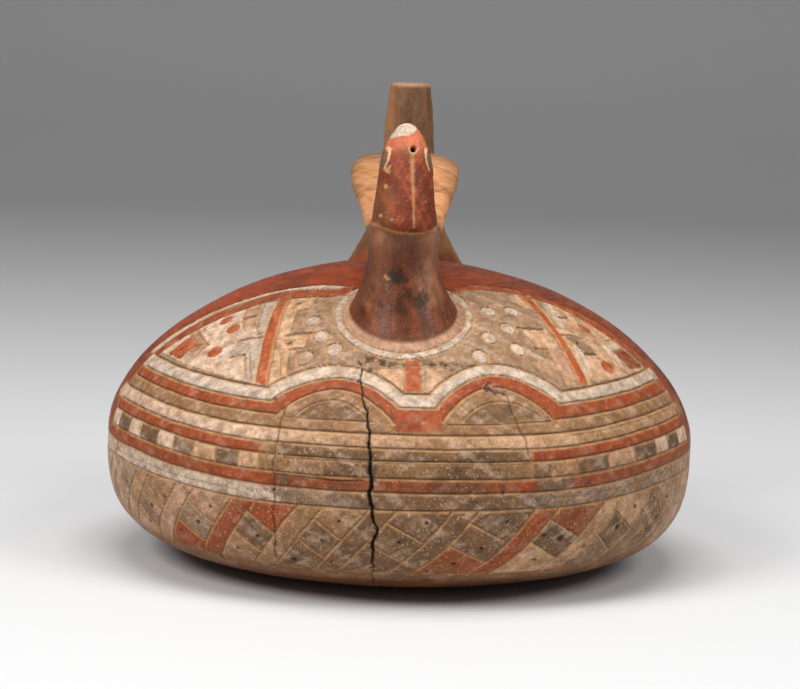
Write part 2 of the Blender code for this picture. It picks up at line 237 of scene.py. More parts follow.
left_checks = ((-75.0, "pale_cream"), (-69.5, "grey_brown"), (-63.0, "pale_cream"), (-58.0, "grey_brown"),
               (-51.5, "pale_cream"), (-46.5, "grey_tan"), (-41.0, "cream"), (-35.5, "grey_brown"),
               (-30.3, "cream"), (-26.2, "dark_olive"))
right_checks = ((24.5, "dark_olive"), (28.6, "tan"), (34.2, "grey_brown"), (42.0, "pink"),
                (49.5, "grey_brown"), (57.0, "pale_cream"), (62.0, "grey_brown"), (68.3, "pale_cream"))
outer_arches = ((-13.6, 14.3, 34.0, 14.3), (20.6, 14.6, 35.0, 16.3))
middle_arches = ((-13.2, 12.9, 27.6, 13.6), (20.2, 13.1, 28.6, 16.2))
inner_arches = ((-12.8, 11.8, 20.0, 15.6), (19.4, 11.4, 21.5, 17.1))
half_moons = ((-13.2, 7.2, 21.4, 8.9), (20.1, 8.3, 22.6, 8.9))
frame_outer_left = ((-118, -18), (-113, -20), (-92, -26), (-61, -34), (-35, -41), (-23, -48))
frame_white_left = ((-118, -25), (-111, -28), (-80, -34), (-52, -39), (-29, -49))
frame_inner_left = ((-118, -32), (-110, -34), (-86, -42), (-59, -46), (-30, -57))
frame_inner_right = ((24, -51), (35, -42), (44, -37), (64, -31.5), (89, -34), (110, -34.5), (118, -35))
frame_outer_right = ((22, -46), (34, -36), (51, -29.5), (71, -24), (112, -24), (118, -24))
left_bar = ((-53, -47), (-56, -62), (-58, -75), (-60, -97), (-55, -101), (-53, -78), (-51, -63),
            (-48, -49))
right_bar = ((50, -38), (57, -50), (63, -62), (74, -85), (78, -81), (66, -59), (60, -46), (54, -34))
spot_radius = 3.2
neck_middle = -72
collar_radius = 29.2
collar_line = 26.0
collar_foot = 22.0
white_spots = ((-38, -74), (-34, -85), (-40, -95), (-28, -94), (46, -57), (36, -63), (44, -72),
               (36, -82), (48, -83), (32, -94))
faint_spots = ((59, -87), (34, -52))
red_ovals = ((-57.0, 66.5), (-50.3, 62.5), (-48.5, 48.0), (61.5, 68.0), (54.0, 45.0))
panel_patches = (
    ("pale_cream", ((-76, 40), (-66, 41), (-50, 38.5), (-30, 34.5), (-33, 50), (-38, 66), (-46, 84),
                    (-50, 90), (-56, 84), (-64, 70), (-70, 56))),
    ("pinkish_tan", ((-56.5, 78.5), (-52.5, 83), (-47, 74.5), (-43, 66), (-45.5, 62), (-51.5, 69.5))),
    ("lilac", ((-49.5, 87), (-52.5, 83.5), (-47.5, 75.5), (-43.5, 67.5), (-40, 61), (-39.8, 56),
               (-39, 49), (-36.5, 41), (-34.8, 36), (-31.8, 35), (-34, 48), (-36.5, 60), (-41, 71),
               (-44.5, 80), (-48, 87.5))),
    ("lilac", ((-44, 56.5), (-39.6, 59.5), (-39, 49.3), (-43.6, 47.5))),
    ("pinkish_tan", ((-66, 59.5), (-53, 51.5), (-54.2, 42.5), (-57.3, 43), (-57, 48.6), (-66.5, 54))),
    ("bright_red", ((-66.5, 41.5), (-64, 53.5), (-56.8, 49.8), (-59, 41))),
    ("cream", ((-47.6, 88.5), (-45, 92), (-34.5, 94.5), (-32.2, 84.5), (-35, 80.5), (-31.2, 66),
               (-31.5, 63), (-25.5, 65.5), (-24.3, 56), (-28, 55), (-25, 40), (-27.6, 35), (-29, 35),
               (-32, 50), (-36.3, 65), (-42, 79))),
    ("cream", ((-31.2, 66), (-31.5, 63), (-25.5, 65.5), (-24.3, 56), (-28, 55), (-30.5, 57))),
    ("cream", ((43.5, 39), (46.8, 58), (49.5, 71), (55, 84), (62, 92), (69, 82), (72.5, 62), (73.5, 39))),
    ("white", ((63.5, 90.5), (58, 88.5), (53, 80), (49.8, 70), (52, 69), (56, 77.5), (60, 84.5))),
    ("white", ((50.6, 57), (47.8, 46), (45, 42), (46.3, 52), (48.6, 60))),
    ("grey_tan", ((48.3, 66.3), (55, 62.3), (54, 53), (50, 53.8))),
    ("white", ((60, 41), (59.6, 56), (70.3, 56), (70.8, 52.8), (62, 53.2), (62.4, 41))),
    ("dull_red", ((62.6, 41.3), (62.2, 52), (69.4, 51.8), (71, 41.3))),
    ("cream", ((35.5, 71.5), (43.8, 71.2), (44.2, 60), (38.6, 58.6), (36.3, 60))),
    ("pink", ((38.6, 57.5), (37.3, 38.5), (41.2, 38.5), (44, 58))),
    ("cream", ((45.5, 86), (47, 99.5), (53, 98.5), (50, 88))),
    ("cream", ((-6.2, 37), (-6, 47.5), (0.4, 47), (0.5, 37))),
    ("cream", ((5.4, 37), (5.4, 48), (9.2, 49), (9.4, 38))),
    ("bright_red", ((0.8, 36.4), (0.7, 53.5), (4.0, 53), (4.2, 36.4))),
)
fine_lines = (
    ((-34.5, 94.5), (-32.2, 84.5)), ((-34.8, 79.5), (-31.2, 66)), ((-25.5, 65.5), (-24.3, 56)),
    ((-27.7, 54), (-25, 40)), ((-29.5, 52), (-26.6, 40)), ((-52, 84), (-47, 75), (-43, 66), (-40, 61)),
    ((-39, 49), (-34.5, 37)), ((-37.4, 49), (-33.2, 37)), ((-56, 77.5), (-51.5, 69.5)),
    ((-65, 57), (-53, 51), (-54, 43)), ((-66, 60.5), (-56, 56)), ((-66.5, 41.5), (-64, 53.5),
    (-56.8, 49.8), (-59, 41), (-66.5, 41.5)), ((57.5, 58.5), (64, 58.5), (70, 57.5)),
    ((58.5, 57), (59, 50), (59.5, 42)), ((62.6, 41.3), (62.2, 52), (69.4, 51.8), (71, 41.3)),
    ((35.5, 72), (36.5, 61)), ((38.7, 57), (37.5, 38)), ((36.9, 57), (36.0, 40)),
    ((60, 89), (53, 78), (50.3, 70)), ((49, 58), (46, 44)), ((0.8, 36.4), (0.7, 53.5)),
    ((4.2, 36.4), (4.0, 53)), ((45.5, 86), (47, 99.5)),
)
cut_steps = (
    ((-35, 80.5), (-31.8, 84.2)), ((-31.5, 63), (-29, 65.2), (-25, 66.6)), ((-27.9, 55), (-24.5, 56.6)),
    ((-44.5, 56), (-41.5, 58.8), (-38, 60.6)), ((-42.5, 46.5), (-39, 49)), ((-51.5, 69.5), (-48, 73)),
    ((48.3, 66.5), (51.5, 65.4), (55, 62.5)), ((50, 53.5), (54, 52.5)), ((57, 78), (61, 76.6)),
    ((35, 73.5), (39, 72.6), (43.4, 71.4)), ((35.5, 59.6), (38.8, 58.6)), ((-54.4, 51), (-54.2, 44)),
)
punched_dots = (
    (-54, -26, 1.4), (-49, -20, 1.0), (-56.5, -34.5, 1.2), (-36.5, -20, 1.0), (-40, -28, 1.4),
    (-26.5, -30, 1.0), (-28, -19, 0.9), (-31.7, -38, 1.0), (-20, -41, 1.9), (-66.6, -25, 1.2),
    (-63.6, -19, 1.0), (-10.4, -20, 1.0), (-13.7, -29, 0.9), (5.3, -19.4, 1.0), (0.4, -28, 1.0),
    (15.8, -30.7, 1.2), (11, -39, 1.2), (45.6, -26, 1.9), (50, -18, 1.2), (56.7, -16.4, 1.0),
    (53, -21, 1.0), (62.4, -17.6, 1.2), (59, -25.6, 1.2), (56.4, -33.5, 1.2), (27.4, -38, 1.2),
    (31.6, -28, 1.9), (28, -26, 1.0), (-62, 45.5, 1.2), (-29, 59, 1.5), (-38, 87, 1.7),
    (51, 60.5, 1.3), (33, -24, 0.8), (20, -19, 0.8), (38, -33, 0.9), (-46, -34, 1.0),
)
losses = (
    (-9.0, 51.6, 2.5, 1.4), (-6.8, 52.6, 2.6, 1.3), (-4.6, 51.6, 2.2, 1.1), (-2.4, 50.4, 1.9, 1.0),
    (0.0, 49.9, 1.2, 0.7), (7.2, 50.4, 1.9, 1.1), (9.4, 51.2, 2.2, 1.3), (11.8, 51.2, 1.6, 1.0),
    (14.2, 50.4, 1.7, 1.0), (-7.2, 46.3, 1.3, 0.7), (-5.4, 47.2, 1.0, 0.6), (9.0, 46.2, 1.3, 0.8),
    (11.2, 47.6, 1.0, 0.6), (18.6, 38.7, 2.5, 1.5), (19.7, 36.4, 1.8, 1.2), (21.2, 34.8, 1.0, 0.6),
    (13.0, -7.3, 1.1, 0.8), (19.0, -7.0, 1.0, 0.7), (-6.6, 30.0, 1.3, 0.9), (-5.6, 12.0, 1.2, 0.9),
    (-4.2, -3.0, 1.6, 1.0), (-3.6, -22.0, 1.5, 1.1), (-4.6, -33.0, 1.2, 0.9), (-22.4, -9.6, 1.2, 0.8),
    (-8.8, 40.5, 1.1, 0.8), (-22.9, -27.0, 0.9, 0.7), (-12.0, -41.0, 1.6, 0.5), (6.5, -44.5, 1.5, 0.5),
    (34.0, -41.0, 1.4, 0.5), (-38.0, -45.5, 1.5, 0.5), (4.5, 22.0, 0.8, 0.4), (-17.0, 8.0, 0.9, 0.4),
    (12.0, 1.5, 1.0, 0.5), (58.0, 96.0, 1.3, 0.5), (-25.8, 29.0, 1.1, 0.6), (36.5, -5.0, 1.2, 0.7),
)
main_crack = ((-9.2, 49), (-8.7, 42), (-7.6, 33), (-6.4, 24), (-6.0, 20), (-5.2, 10), (-5.0, 0),
              (-4.9, -2), (-5.1, -8), (-4.6, -14), (-3.9, -20), (-3.4, -23), (-4.2, -28), (-4.6, -33),
              (-4.3, -40), (-4.6, -50), (-4.9, -62))
thin_cracks = (
    ((-23.0, 25), (-22.7, 12), (-23.2, 2), (-22.4, -10), (-23.0, -20), (-22.7, -28), (-23.6, -40)),
    ((-22.7, -3.0), (-18, -2.7), (-12, -3.3), (-6, -2.9)),
    ((-9.5, 51), (-6, 52.5), (-1.5, 51), (3, 50), (7, 51), (11, 52), (17, 50)),
    ((18.2, 39.6), (19.8, 36.8), (21.8, 34.8)),
    ((21.8, 34.8), (22.4, 24), (23.6, 14), (24.0, 8)),
)


def lift(angle):
    """How much the design's levels climb from the middle of the panel towards its sides."""
    return 4.5 * rising(np.abs(angle), 25.5, 45)


def arch_crest(angle, center, half_width, foot, rise):
    share = np.clip(np.abs(angle - center) / half_width, 0, 1)
    crest = foot + rise * np.clip(np.cos(math.pi / 2 * share), 0, 1) ** 0.75
    return np.where(share < 1, crest, -1000.0)


def arched(angle, base, arches):
    """A line that runs level and goes over the arches where it meets them."""
    line = base
    for arch in arches:
        line = np.maximum(line, arch_crest(angle, *arch))
    return line


def white_top(angle):
    base = np.interp(angle, (-28, -1, 6, 35), (33.7, 35.1, 35.2, 34.6)) + lift(angle)
    return arched(angle, base, outer_arches)


def white_foot(angle):
    base = np.interp(angle, (-26, -1, 7, 33), (27.4, 28.2, 28.4, 28.6)) + lift(angle)
    return arched(angle, base, middle_arches)


def red_foot(angle):
    base = np.interp(angle, (-25, -24, -1.5, -1, 8, 8.6, 31, 32), (22.0, 19, 18, 17.7, 17.7, 18, 20, 22.6))
    return arched(angle, base + lift(angle), inner_arches)


def stripe_left(top, climb):
    return top + (climb - levels["zigzag"]) * stripe_lean


def tremor(angle, climb):
    """Wander of the hand that drew the design, in degrees and in millimetres."""
    sideways = 0.16 * hand_wave(angle * 0.16, climb * 0.21, 1.0)
    upwards = 0.30 * hand_wave(angle * 0.11, climb * 0.15, 4.0)
    return sideways, upwards


def inside(polygon, x, y):
    """Which points lie inside a polygon, by counting its edges to one side of them."""
    crossed = np.zeros(len(x), bool)
    for (x0, y0), (x1, y1) in zip(polygon, polygon[1:] + polygon[:1]):
        if y0 == y1:
            continue
        between = (y0 > y) != (y1 > y)
        crossed ^= between & (x < x0 + (y - y0) * (x1 - x0) / (y1 - y0))
    return crossed


def along(polyline, step, closed=False):
    """Points at even steps along a polyline."""
    points = np.array(list(polyline) + ([polyline[0]] if closed else []), float)
    lengths = np.concatenate([[0.0], np.cumsum(np.hypot(*np.diff(points, axis=0).T))])
    count = max(2, int(lengths[-1] / step) + 1)
    places = np.linspace(0, lengths[-1], count)
    return np.column_stack([np.interp(places, lengths, points[:, i]) for i in (0, 1)])


class Drawing:
    """Lines of the design as points on the body, each with the width and depth of its cut."""

    def __init__(self):
        self.points = []
        self.widths = []
        self.depths = []

    def add(self, unrolled_points, width, depth, steady=False):
        """Lay a line of (angle, climb) points on the body, along the hand's wander."""
        steps = np.array(unrolled_points, float)
        shrink = np.cos(np.radians(np.clip(steps[:, 1], 0, 75)))
        flat = np.column_stack([steps[:, 0] * 2.27 * np.maximum(shrink, 0.3), steps[:, 1]])
        lengths = np.concatenate([[0.0], np.cumsum(np.hypot(*np.diff(flat, axis=0).T))])
        places = np.linspace(0, lengths[-1], max(2, int(lengths[-1] / 0.3) + 1))
        angle = np.interp(places, lengths, steps[:, 0])
        climb = np.interp(places, lengths, steps[:, 1])
        if not steady:
            sideways, upwards = tremor(angle, climb)
            angle = angle - sideways
            climb = climb - upwards
        self.points.append(on_body(angle, climb))
        self.widths.append(np.full(len(angle), width * MM))
        self.depths.append(np.full(len(angle), depth * MM))

    def tree(self):
        """Close the drawing and return a search tree of its points."""
        self.points = np.concatenate(self.points)
        self.widths = np.concatenate(self.widths)
        self.depths = np.concatenate(self.depths)
        found = kdtree.KDTree(len(self.points))
        for index, point in enumerate(self.points):
            found.insert(point, index)
        found.balance()
        return found


def ring_round(center, across, up, count=28):
    turns = np.linspace(0, 2 * math.pi, count + 1)
    return [(center[0] + across * math.sin(turn), center[1] + up * math.cos(turn)) for turn in turns]


def plan_ring(center, radius, count=40):
    turns = np.linspace(0, 2 * math.pi, count + 1)
    return [from_plan(center[0] + radius * math.sin(turn), center[1] + radius * math.cos(turn))
            for turn in turns]


def plan_line(points):
    return [from_plan(x, y) for x, y in along(points, 2.0)]


def level_line(name, start, end):
    angle = np.arange(start, end + 0.1, 0.5)
    return np.column_stack([angle, levels[name] + lift(angle)])


def edge_line(edge, start, end):
    angle = np.arange(start, end + 0.05, 0.1)
    return np.column_stack([angle, edge(angle)])


def draw_bands(grooves):
    side = panel_side - 1
    for name in ("cream", "red", "checks", "thin_red"):
        grooves.add(level_line(name, -side, side), 0.75, 0.50)
    for name in ("pale", "zigzag"):
        grooves.add(level_line(name, -low_side, low_side), 0.75, 0.50)
    grooves.add(level_line("olive", -side, -24.5), 0.75, 0.50)
    grooves.add(level_line("olive", 31.5, side), 0.75, 0.50)
    grooves.add(level_line("foot", -70, 74), 0.65, 0.35)
    grooves.add(edge_line(white_top, -side + 2, side - 3), 0.80, 0.60)
    grooves.add(edge_line(white_foot, -side + 2, side - 3), 0.80, 0.55)
    grooves.add(edge_line(red_foot, -24.5, -1.2), 0.75, 0.50)
    grooves.add(edge_line(red_foot, 8.2, 31), 0.75, 0.50)
    for start, end in ((-22.5, -5.2), (9.0, 30.0)):
        grooves.add([(start, 21.0), (end, 21.4)], 0.55, 0.32)
    for center, half, foot, rise in half_moons:
        angle = np.linspace(center - half, center + half, 80)
        grooves.add(np.column_stack([angle, arch_crest(angle, center, half * 1.001, foot, rise)]), 0.6, 0.38)
    for level, start, end in ((14.6, 34, 70), (-11.4, -70, -30), (-10.6, 28, 66), (4.3, -4.5, 24.0)):
        angle = np.arange(start, end + 0.1, 0.5)
        grooves.add(np.column_stack([angle, level + lift(angle)]), 0.45, 0.20)


def draw_checks(grooves):
    for checks in (left_checks, right_checks):
        for angle, _ in checks:
            raised = float(lift(angle))
            ends = [(angle, levels[name] + raised) for name in ("thin_red", "checks")]
            grooves.add(ends, 0.55, 0.32)
    for angle in (-26.0, -24.6, -22.8, 24.5, 26.6, 28.7):
        top = levels["red"] if abs(angle) < 26.5 else levels["checks"]
        grooves.add([(angle, levels["thin_red"]), (angle, top)], 0.6, 0.38)
    grooves.add([(-21.6, 4.3), (-5.4, 4.5)], 0.5, 0.30)
    grooves.add([(-21.6, -1.4), (-21.6, 9.8)], 0.5, 0.28)
    for angle in (-19.3, -13.7, -6.9, 3.4, 13.5):
        grooves.add([(angle, -1.4), (angle, 3.9)], 0.5, 0.28)
    for side in (-1, 1):
        edge = side * panel_side
        grooves.add([(edge, levels["zigzag"] + 3), (edge, 14), (edge - side * 0.6, 34)], 0.7, 0.4)


def draw_zigzag(grooves):
    top = levels["zigzag"]
    foot = levels["foot"]
    for left in stripe_tops:
        for edge in (left, left + stripe_width):
            line = [(stripe_left(edge, climb), climb + lift(edge) * 0.5) for climb in (top, -30, foot)]
            grooves.add(line, 0.65, 0.42)
    for left, following in zip(stripe_tops[:-1], stripe_tops[1:]):
        for level, drop in diamonds:
            start = stripe_left(left + stripe_width, level)
            end = stripe_left(following, level - drop)
            raised = float(lift(start)) * 0.5
            grooves.add([(start, level + raised), (end, level - drop + raised)], 0.65, 0.42)


def draw_upper_panel(grooves):
    for line in (frame_outer_left, frame_white_left, frame_inner_left, frame_inner_right):
        grooves.add(plan_line(line[1:]), 0.75, 0.50)
    grooves.add(plan_line(frame_outer_right[:-1]), 0.6, 0.30)
    for bar in (left_bar, right_bar):
        middle = len(bar) // 2
        grooves.add(plan_line(bar[:middle]), 0.7, 0.45)
        grooves.add(plan_line(bar[middle:]), 0.7, 0.45)
    for spot in white_spots:
        grooves.add(plan_ring(spot, 3.3), 0.65, 0.45)
    for spot in faint_spots:
        grooves.add(plan_ring(spot, 3.2), 0.5, 0.2)
    for line in fine_lines:
        grooves.add(line, 0.55, 0.34)
    for line in cut_steps:
        grooves.add(line, 1.0, 0.85)
    for center in ((-29, 59), (-38, 87)):
        grooves.add(ring_round(center, 1.2, 1.9), 0.5, 0.3)
    for radius, depth in ((collar_radius, 0.55), (collar_line, 0.25)):
        grooves.add(plan_ring((0, neck_middle), radius, 90), 0.7, depth)


def jagged(polyline, step, reach):
    """A line broken into short crooked runs."""
    points = along(polyline, step)
    index = np.arange(len(points))
    points[:, 0] += reach * (0.5 * np.sin(1.31 * index) + 0.35 * np.sin(2.93 * index + 1)
                             + 0.4 * np.sin(0.47 * index + 2))
    points[:, 1] += reach * 0.6 * np.sin(index * 1.7 + 1.0)
    return points


def draw_cracks(cracks):
    """The long open crack down the front and the hairlines beside it."""
    line = jagged(main_crack, 2.1, 0.30)
    for first, second in zip(line[:-1], line[1:]):
        width = np.interp(-first[1], (-49, -33, -22, -5, 5, 15, 20, 28, 36, 43, 62),
                          (0.28, 0.34, 0.50, 0.60, 0.78, 0.62, 0.48, 0.72, 0.46, 0.28, 0.22))
        cracks.add([first, second], width, 0.8 + 2.2 * width, steady=True)
    for crack in thin_cracks:
        cracks.add(jagged(crack, 1.9, 0.25), 0.34, 0.75, steady=True)


def patch_edges(edges):
    """Paint edges with no cut line, where the mesh only has to be fine."""
    for _, outline in panel_patches:
        edges.add(outline + outline[:1], 0.1, 0.0)
    for center in red_ovals:
        edges.add(ring_round(center, 2.0, 3.4), 0.1, 0.0)
    for angle, climb, radius in punched_dots:
        edges.add(ring_round((angle, climb), radius * 0.3, radius * 0.6, 8), 0.1, 0.0)
    for angle, climb, radius, _ in losses:
        edges.add(ring_round((angle, climb), radius * 0.3, radius * 0.7, 10), 0.1, 0.0)


def nearest(tree, points):
    """Index of and distance to the drawing's closest point, for every point."""
    found = [tree.find(point)[1:] for point in points]
    return np.array([row[0] for row in found]), np.array([row[1] for row in found])


def snap(bm, drawing, tree, reach):
    """Move the vertices that lie almost on a cut line right on to it, so that it runs unbroken."""
    places = vertex_places(bm)
    index, gap = nearest(tree, places)
    for vert, line_point, close in zip(bm.verts, drawing.points[index],
                                       (gap < reach) & (drawing.depths[index] > 0)):
        if close:
            vert.co = line_point


def vertex_places(bm):
    return np.array([vert.co[:] for vert in bm.verts])


def place_vertices(bm, places):
    for vert, place in zip(bm.verts, places):
        vert.co = place


def smooth(bm, verts, rounds):
    for _ in range(rounds):
        bmesh.ops.smooth_vert(bm, verts=verts, factor=0.5, use_axis_x=True, use_axis_y=True,
                              use_axis_z=True)


def spun_shell(inset, step, turns):
    """The body's shell turned from its outline, with a pole at the crown and one at the floor."""
    climb, radius, height = body_profile(inset)
    count = round((climb[-1] - climb[0]) / step)
    stops = np.linspace(climb[0], climb[-1], count + 1)
    bm = bmesh.new()
    verts = [bm.verts.new((0, -share * radius[0], inset)) for share in (0, 0.25, 0.5, 0.75)]
    for stop in stops:
        verts.append(bm.verts.new((0, -np.interp(stop, climb, radius), np.interp(stop, climb, height))))
    edges = [bm.edges.new(pair) for pair in zip(verts[:-1], verts[1:])]
    bmesh.ops.spin(bm, geom=verts + edges, axis=(0, 0, 1), cent=(0, 0, 0), dvec=(0, 0, 0),
                   angle=2 * math.pi, steps=turns, use_merge=True, use_duplicate=False)
    bmesh.ops.remove_doubles(bm, verts=bm.verts, dist=0.000002)
    return bm


def open_under_necks(bm):
    """Take out the shell's faces under the two necks, where their hollows come through."""
    gone = []
    for face in bm.faces:
        center = face.calc_center_median()
        for axis, radius in neck_openings:
            if center.z > widest_height and math.hypot(center.x, center.y - axis) < radius:
                gone.append(face)
    bmesh.ops.delete(bm, geom=gone, context="FACES")


def refine(bm, trees, finest, passes=5):
    """Halve the edges near the drawing's lines until they are fine enough to carry the cuts."""
    for _ in range(passes):
        places = vertex_places(bm)
        bm.verts.index_update()
        gap = np.min([nearest(tree, places)[1] for tree in trees], axis=0)
        chosen = []
        for edge in bm.edges:
            length = edge.calc_length()
            if length < finest * 1.45:
                continue
            if min(gap[edge.verts[0].index], gap[edge.verts[1].index]) < 0.6 * length + 0.25 * MM:
                chosen.append(edge)
        if not chosen:
            break
        bmesh.ops.subdivide_edges(bm, edges=chosen, cuts=1)
        bmesh.ops.triangulate(bm, faces=[face for face in bm.faces if len(face.verts) > 3])
        settle(bm)


def settle(bm):
    """Put every vertex back on the body's true surface."""
    places = vertex_places(bm)
    on_floor = places[:, 2] < 0.00001
    angle, climb = unrolled(places)
    settled = np.where(on_floor[:, None], places, on_body(angle, climb))
    place_vertices(bm, settled)


def in_scene(name, data):
    item = bpy.data.objects.new(name, data)
    bpy.context.scene.collection.objects.link(item)
    return item


def as_object(name, bm):
    mesh = bpy.data.meshes.new(name)
    bm.to_mesh(mesh)
    bm.free()
    return in_scene(name, mesh)


def store(item, name, values):
    """Keep four values a vertex on the mesh, for its material to read."""
    layer = item.data.attributes.new(name, "FLOAT_COLOR", "POINT")
    layer.data.foreach_set("color", np.ascontiguousarray(values, np.float32).ravel())


class Paint:
    """Slip colours, vertex by vertex, laid on in the order of a painter's work."""

    def __init__(self, count, first):
        self.colour = np.tile(linear(first), (count, 1))
        self.cover = np.zeros(count)

    def lay(self, where, name, cover=1.0):
        self.colour[where] = linear(name)
        self.cover[where] = cover

    def tint(self, name, strength):
        strength = np.clip(strength, 0, 1)[:, None]
        self.colour = self.colour * (1 - strength) + linear(name) * strength


def paint_zigzag(paint, angle, climb, zone):
    """Leaning stripes, and the dotted diamonds between each two of them."""
    raised = climb - 0.5 * lift(angle)
    for left, name in zip(stripe_tops, stripe_colours):
        start = stripe_left(left, raised)
        paint.lay(zone & (angle >= start) & (angle < start + stripe_width), name)
    (upper, upper_drop), (lower, lower_drop) = diamonds
    for index, (left, following) in enumerate(zip(stripe_tops[:-1], stripe_tops[1:])):
        start = stripe_left(left + stripe_width, raised)
        end = stripe_left(following, raised)
        between = zone & (angle >= start) & (angle < end)
        share = (angle - start) / np.maximum(end - start, 0.1)
        paint.lay(between, "grey_brown" if left > -36 else "grey_tan")
        paint.lay(between & (raised > upper - upper_drop * share), stripe_colours[index])
        paint.lay(between & (raised < lower - lower_drop * share), stripe_colours[index + 1])
    paint.lay(zone & (angle < stripe_left(stripe_tops[0], raised)), "grey_tan")
    paint.lay(zone & (angle > stripe_left(stripe_tops[-1] + stripe_width, raised)), "pinkish_tan")


def paint_bands(paint, angle, climb):
    """Bands of the panel, from its worn foot up to the white arches."""
    level = climb - lift(angle)
    reach = np.abs(angle)
    panel = reach < panel_side
    low_panel = reach < low_side

    def row(lower, upper):
        return (level > levels[lower]) & (level <= levels[upper])

    paint.lay((reach < panel_side + panel_edge) & (climb > -13) & (climb < 44), "dull_red", 0.7)
    border = -53.5 + 1.6 * hand_wave(angle * 0.3, climb * 0.1, 3.0)
    paint.lay((reach < 81) & (level <= levels["foot"]) & (climb > border), "earth", 0.6)
    paint_zigzag(paint, angle, climb, low_panel & row("foot", "zigzag"))
    pale_row = low_panel & row("zigzag", "pale")
    paint.lay(pale_row, "lavender")
    flaked = angle + 7.0 * hand_wave(angle * 0.9, climb * 1.3, 5.0)
    flaked = flaked + 4.0 * hand_wave(angle * 2.3, climb * 2.9, 1.0)
    paint.lay(pale_row & (flaked < -24), "white")
    paint.lay(pale_row & (flaked >= -6) & (flaked < 26), "grey_brown")
    thin_red = panel & row("pale", "thin_red")
    paint.lay(thin_red, "red")
    for start, end in mended_reds:
        paint.lay(thin_red & (angle > start) & (angle < end), "grey_brown")
    for checks in (left_checks, right_checks):
        ends = [start for start, _ in checks[1:]] + [checks[-1][0] + 7.5]
        for (start, name), end in zip(checks, ends):
            paint.lay(panel & row("thin_red", "checks") & (angle >= start) & (angle < end), name)
    paint.lay(panel & row("checks", "red"), "red")
    centre = (angle > middle_left) & (angle < middle_right) & row("thin_red", "red")
    paint.lay(centre, "dark_olive")
    for name, start, end, top in worn_cells:
        paint.lay(centre & (angle > start) & (angle < end) & (level < top), name)
    paint.lay(panel & row("red", "cream"), "cream")
    paint.lay(panel & (level > levels["cream"]) & (climb <= red_foot(angle)), "olive")
    for moon in half_moons:
        paint.lay(panel & (climb > moon[2]) & (climb <= arch_crest(angle, *moon)), "dark_olive")
    paint.lay(panel & (climb > red_foot(angle)) & (climb <= white_foot(angle)), "red")
    paint.lay(panel & (climb > white_foot(angle)) & (climb <= white_top(angle)), "white")


def line_height(points, x):
    """Height of a line seen from above, at places along X."""
    return np.interp(x, [point[0] for point in points], [point[1] for point in points])


def paint_upper_panel(paint, angle, climb, x, y):
    """The panel's upper field: its frame, its patches, bars, ovals and spots."""
    above = (climb > white_top(angle)) & (np.abs(angle) < panel_side + 3)
    left = x < 0
    inner = np.where(left, line_height(frame_inner_left, x), line_height(frame_inner_right, x))
    outer = np.where(left, line_height(frame_outer_left, x), line_height(frame_outer_right, x))
    white = np.where(left, line_height(frame_white_left, x), outer)
    reach = (x < -22) | (x > 22)
    paint.lay(above & (y < inner), "ground")
    paint.lay(above & reach & (y >= inner) & (y < white), "red")
    paint.lay(above & reach & left & (y >= white) & (y < outer), "white")
    fill = above & (y < inner)
    for name, outline in panel_patches:
        paint.lay(fill & inside(outline, angle, climb), name)
    for center in red_ovals:
        off = ((angle - center[0]) / 2.0) ** 2 + ((climb - center[1]) / 3.4) ** 2
        paint.lay(fill & (off < 1), "bright_red")
    for bar in (left_bar, right_bar):
        paint.lay(fill & inside(bar, x, y), "bright_red")
    for spot in faint_spots:
        paint.lay(above & (np.hypot(x - spot[0], y - spot[1]) < 3.1), "pinkish_tan")
    for spot in white_spots:
        name = "white" if spot[0] > -30 else "lilac"
        paint.lay(above & (np.hypot(x - spot[0], y - spot[1]) < spot_radius), name)


def paint_collar(paint, x, y):
    """Painted ring on the dome round the foot of the front neck."""
    gap = np.hypot(x, y - neck_middle)
    waver = 0.5 * hand_wave(np.arctan2(x, y - neck_middle) * 5, gap * 0.2, 2.0)
    paint.lay((gap < collar_radius) & (gap > collar_foot), "pink")
    paint.lay((gap < collar_radius) & (gap > collar_line + waver), "white")


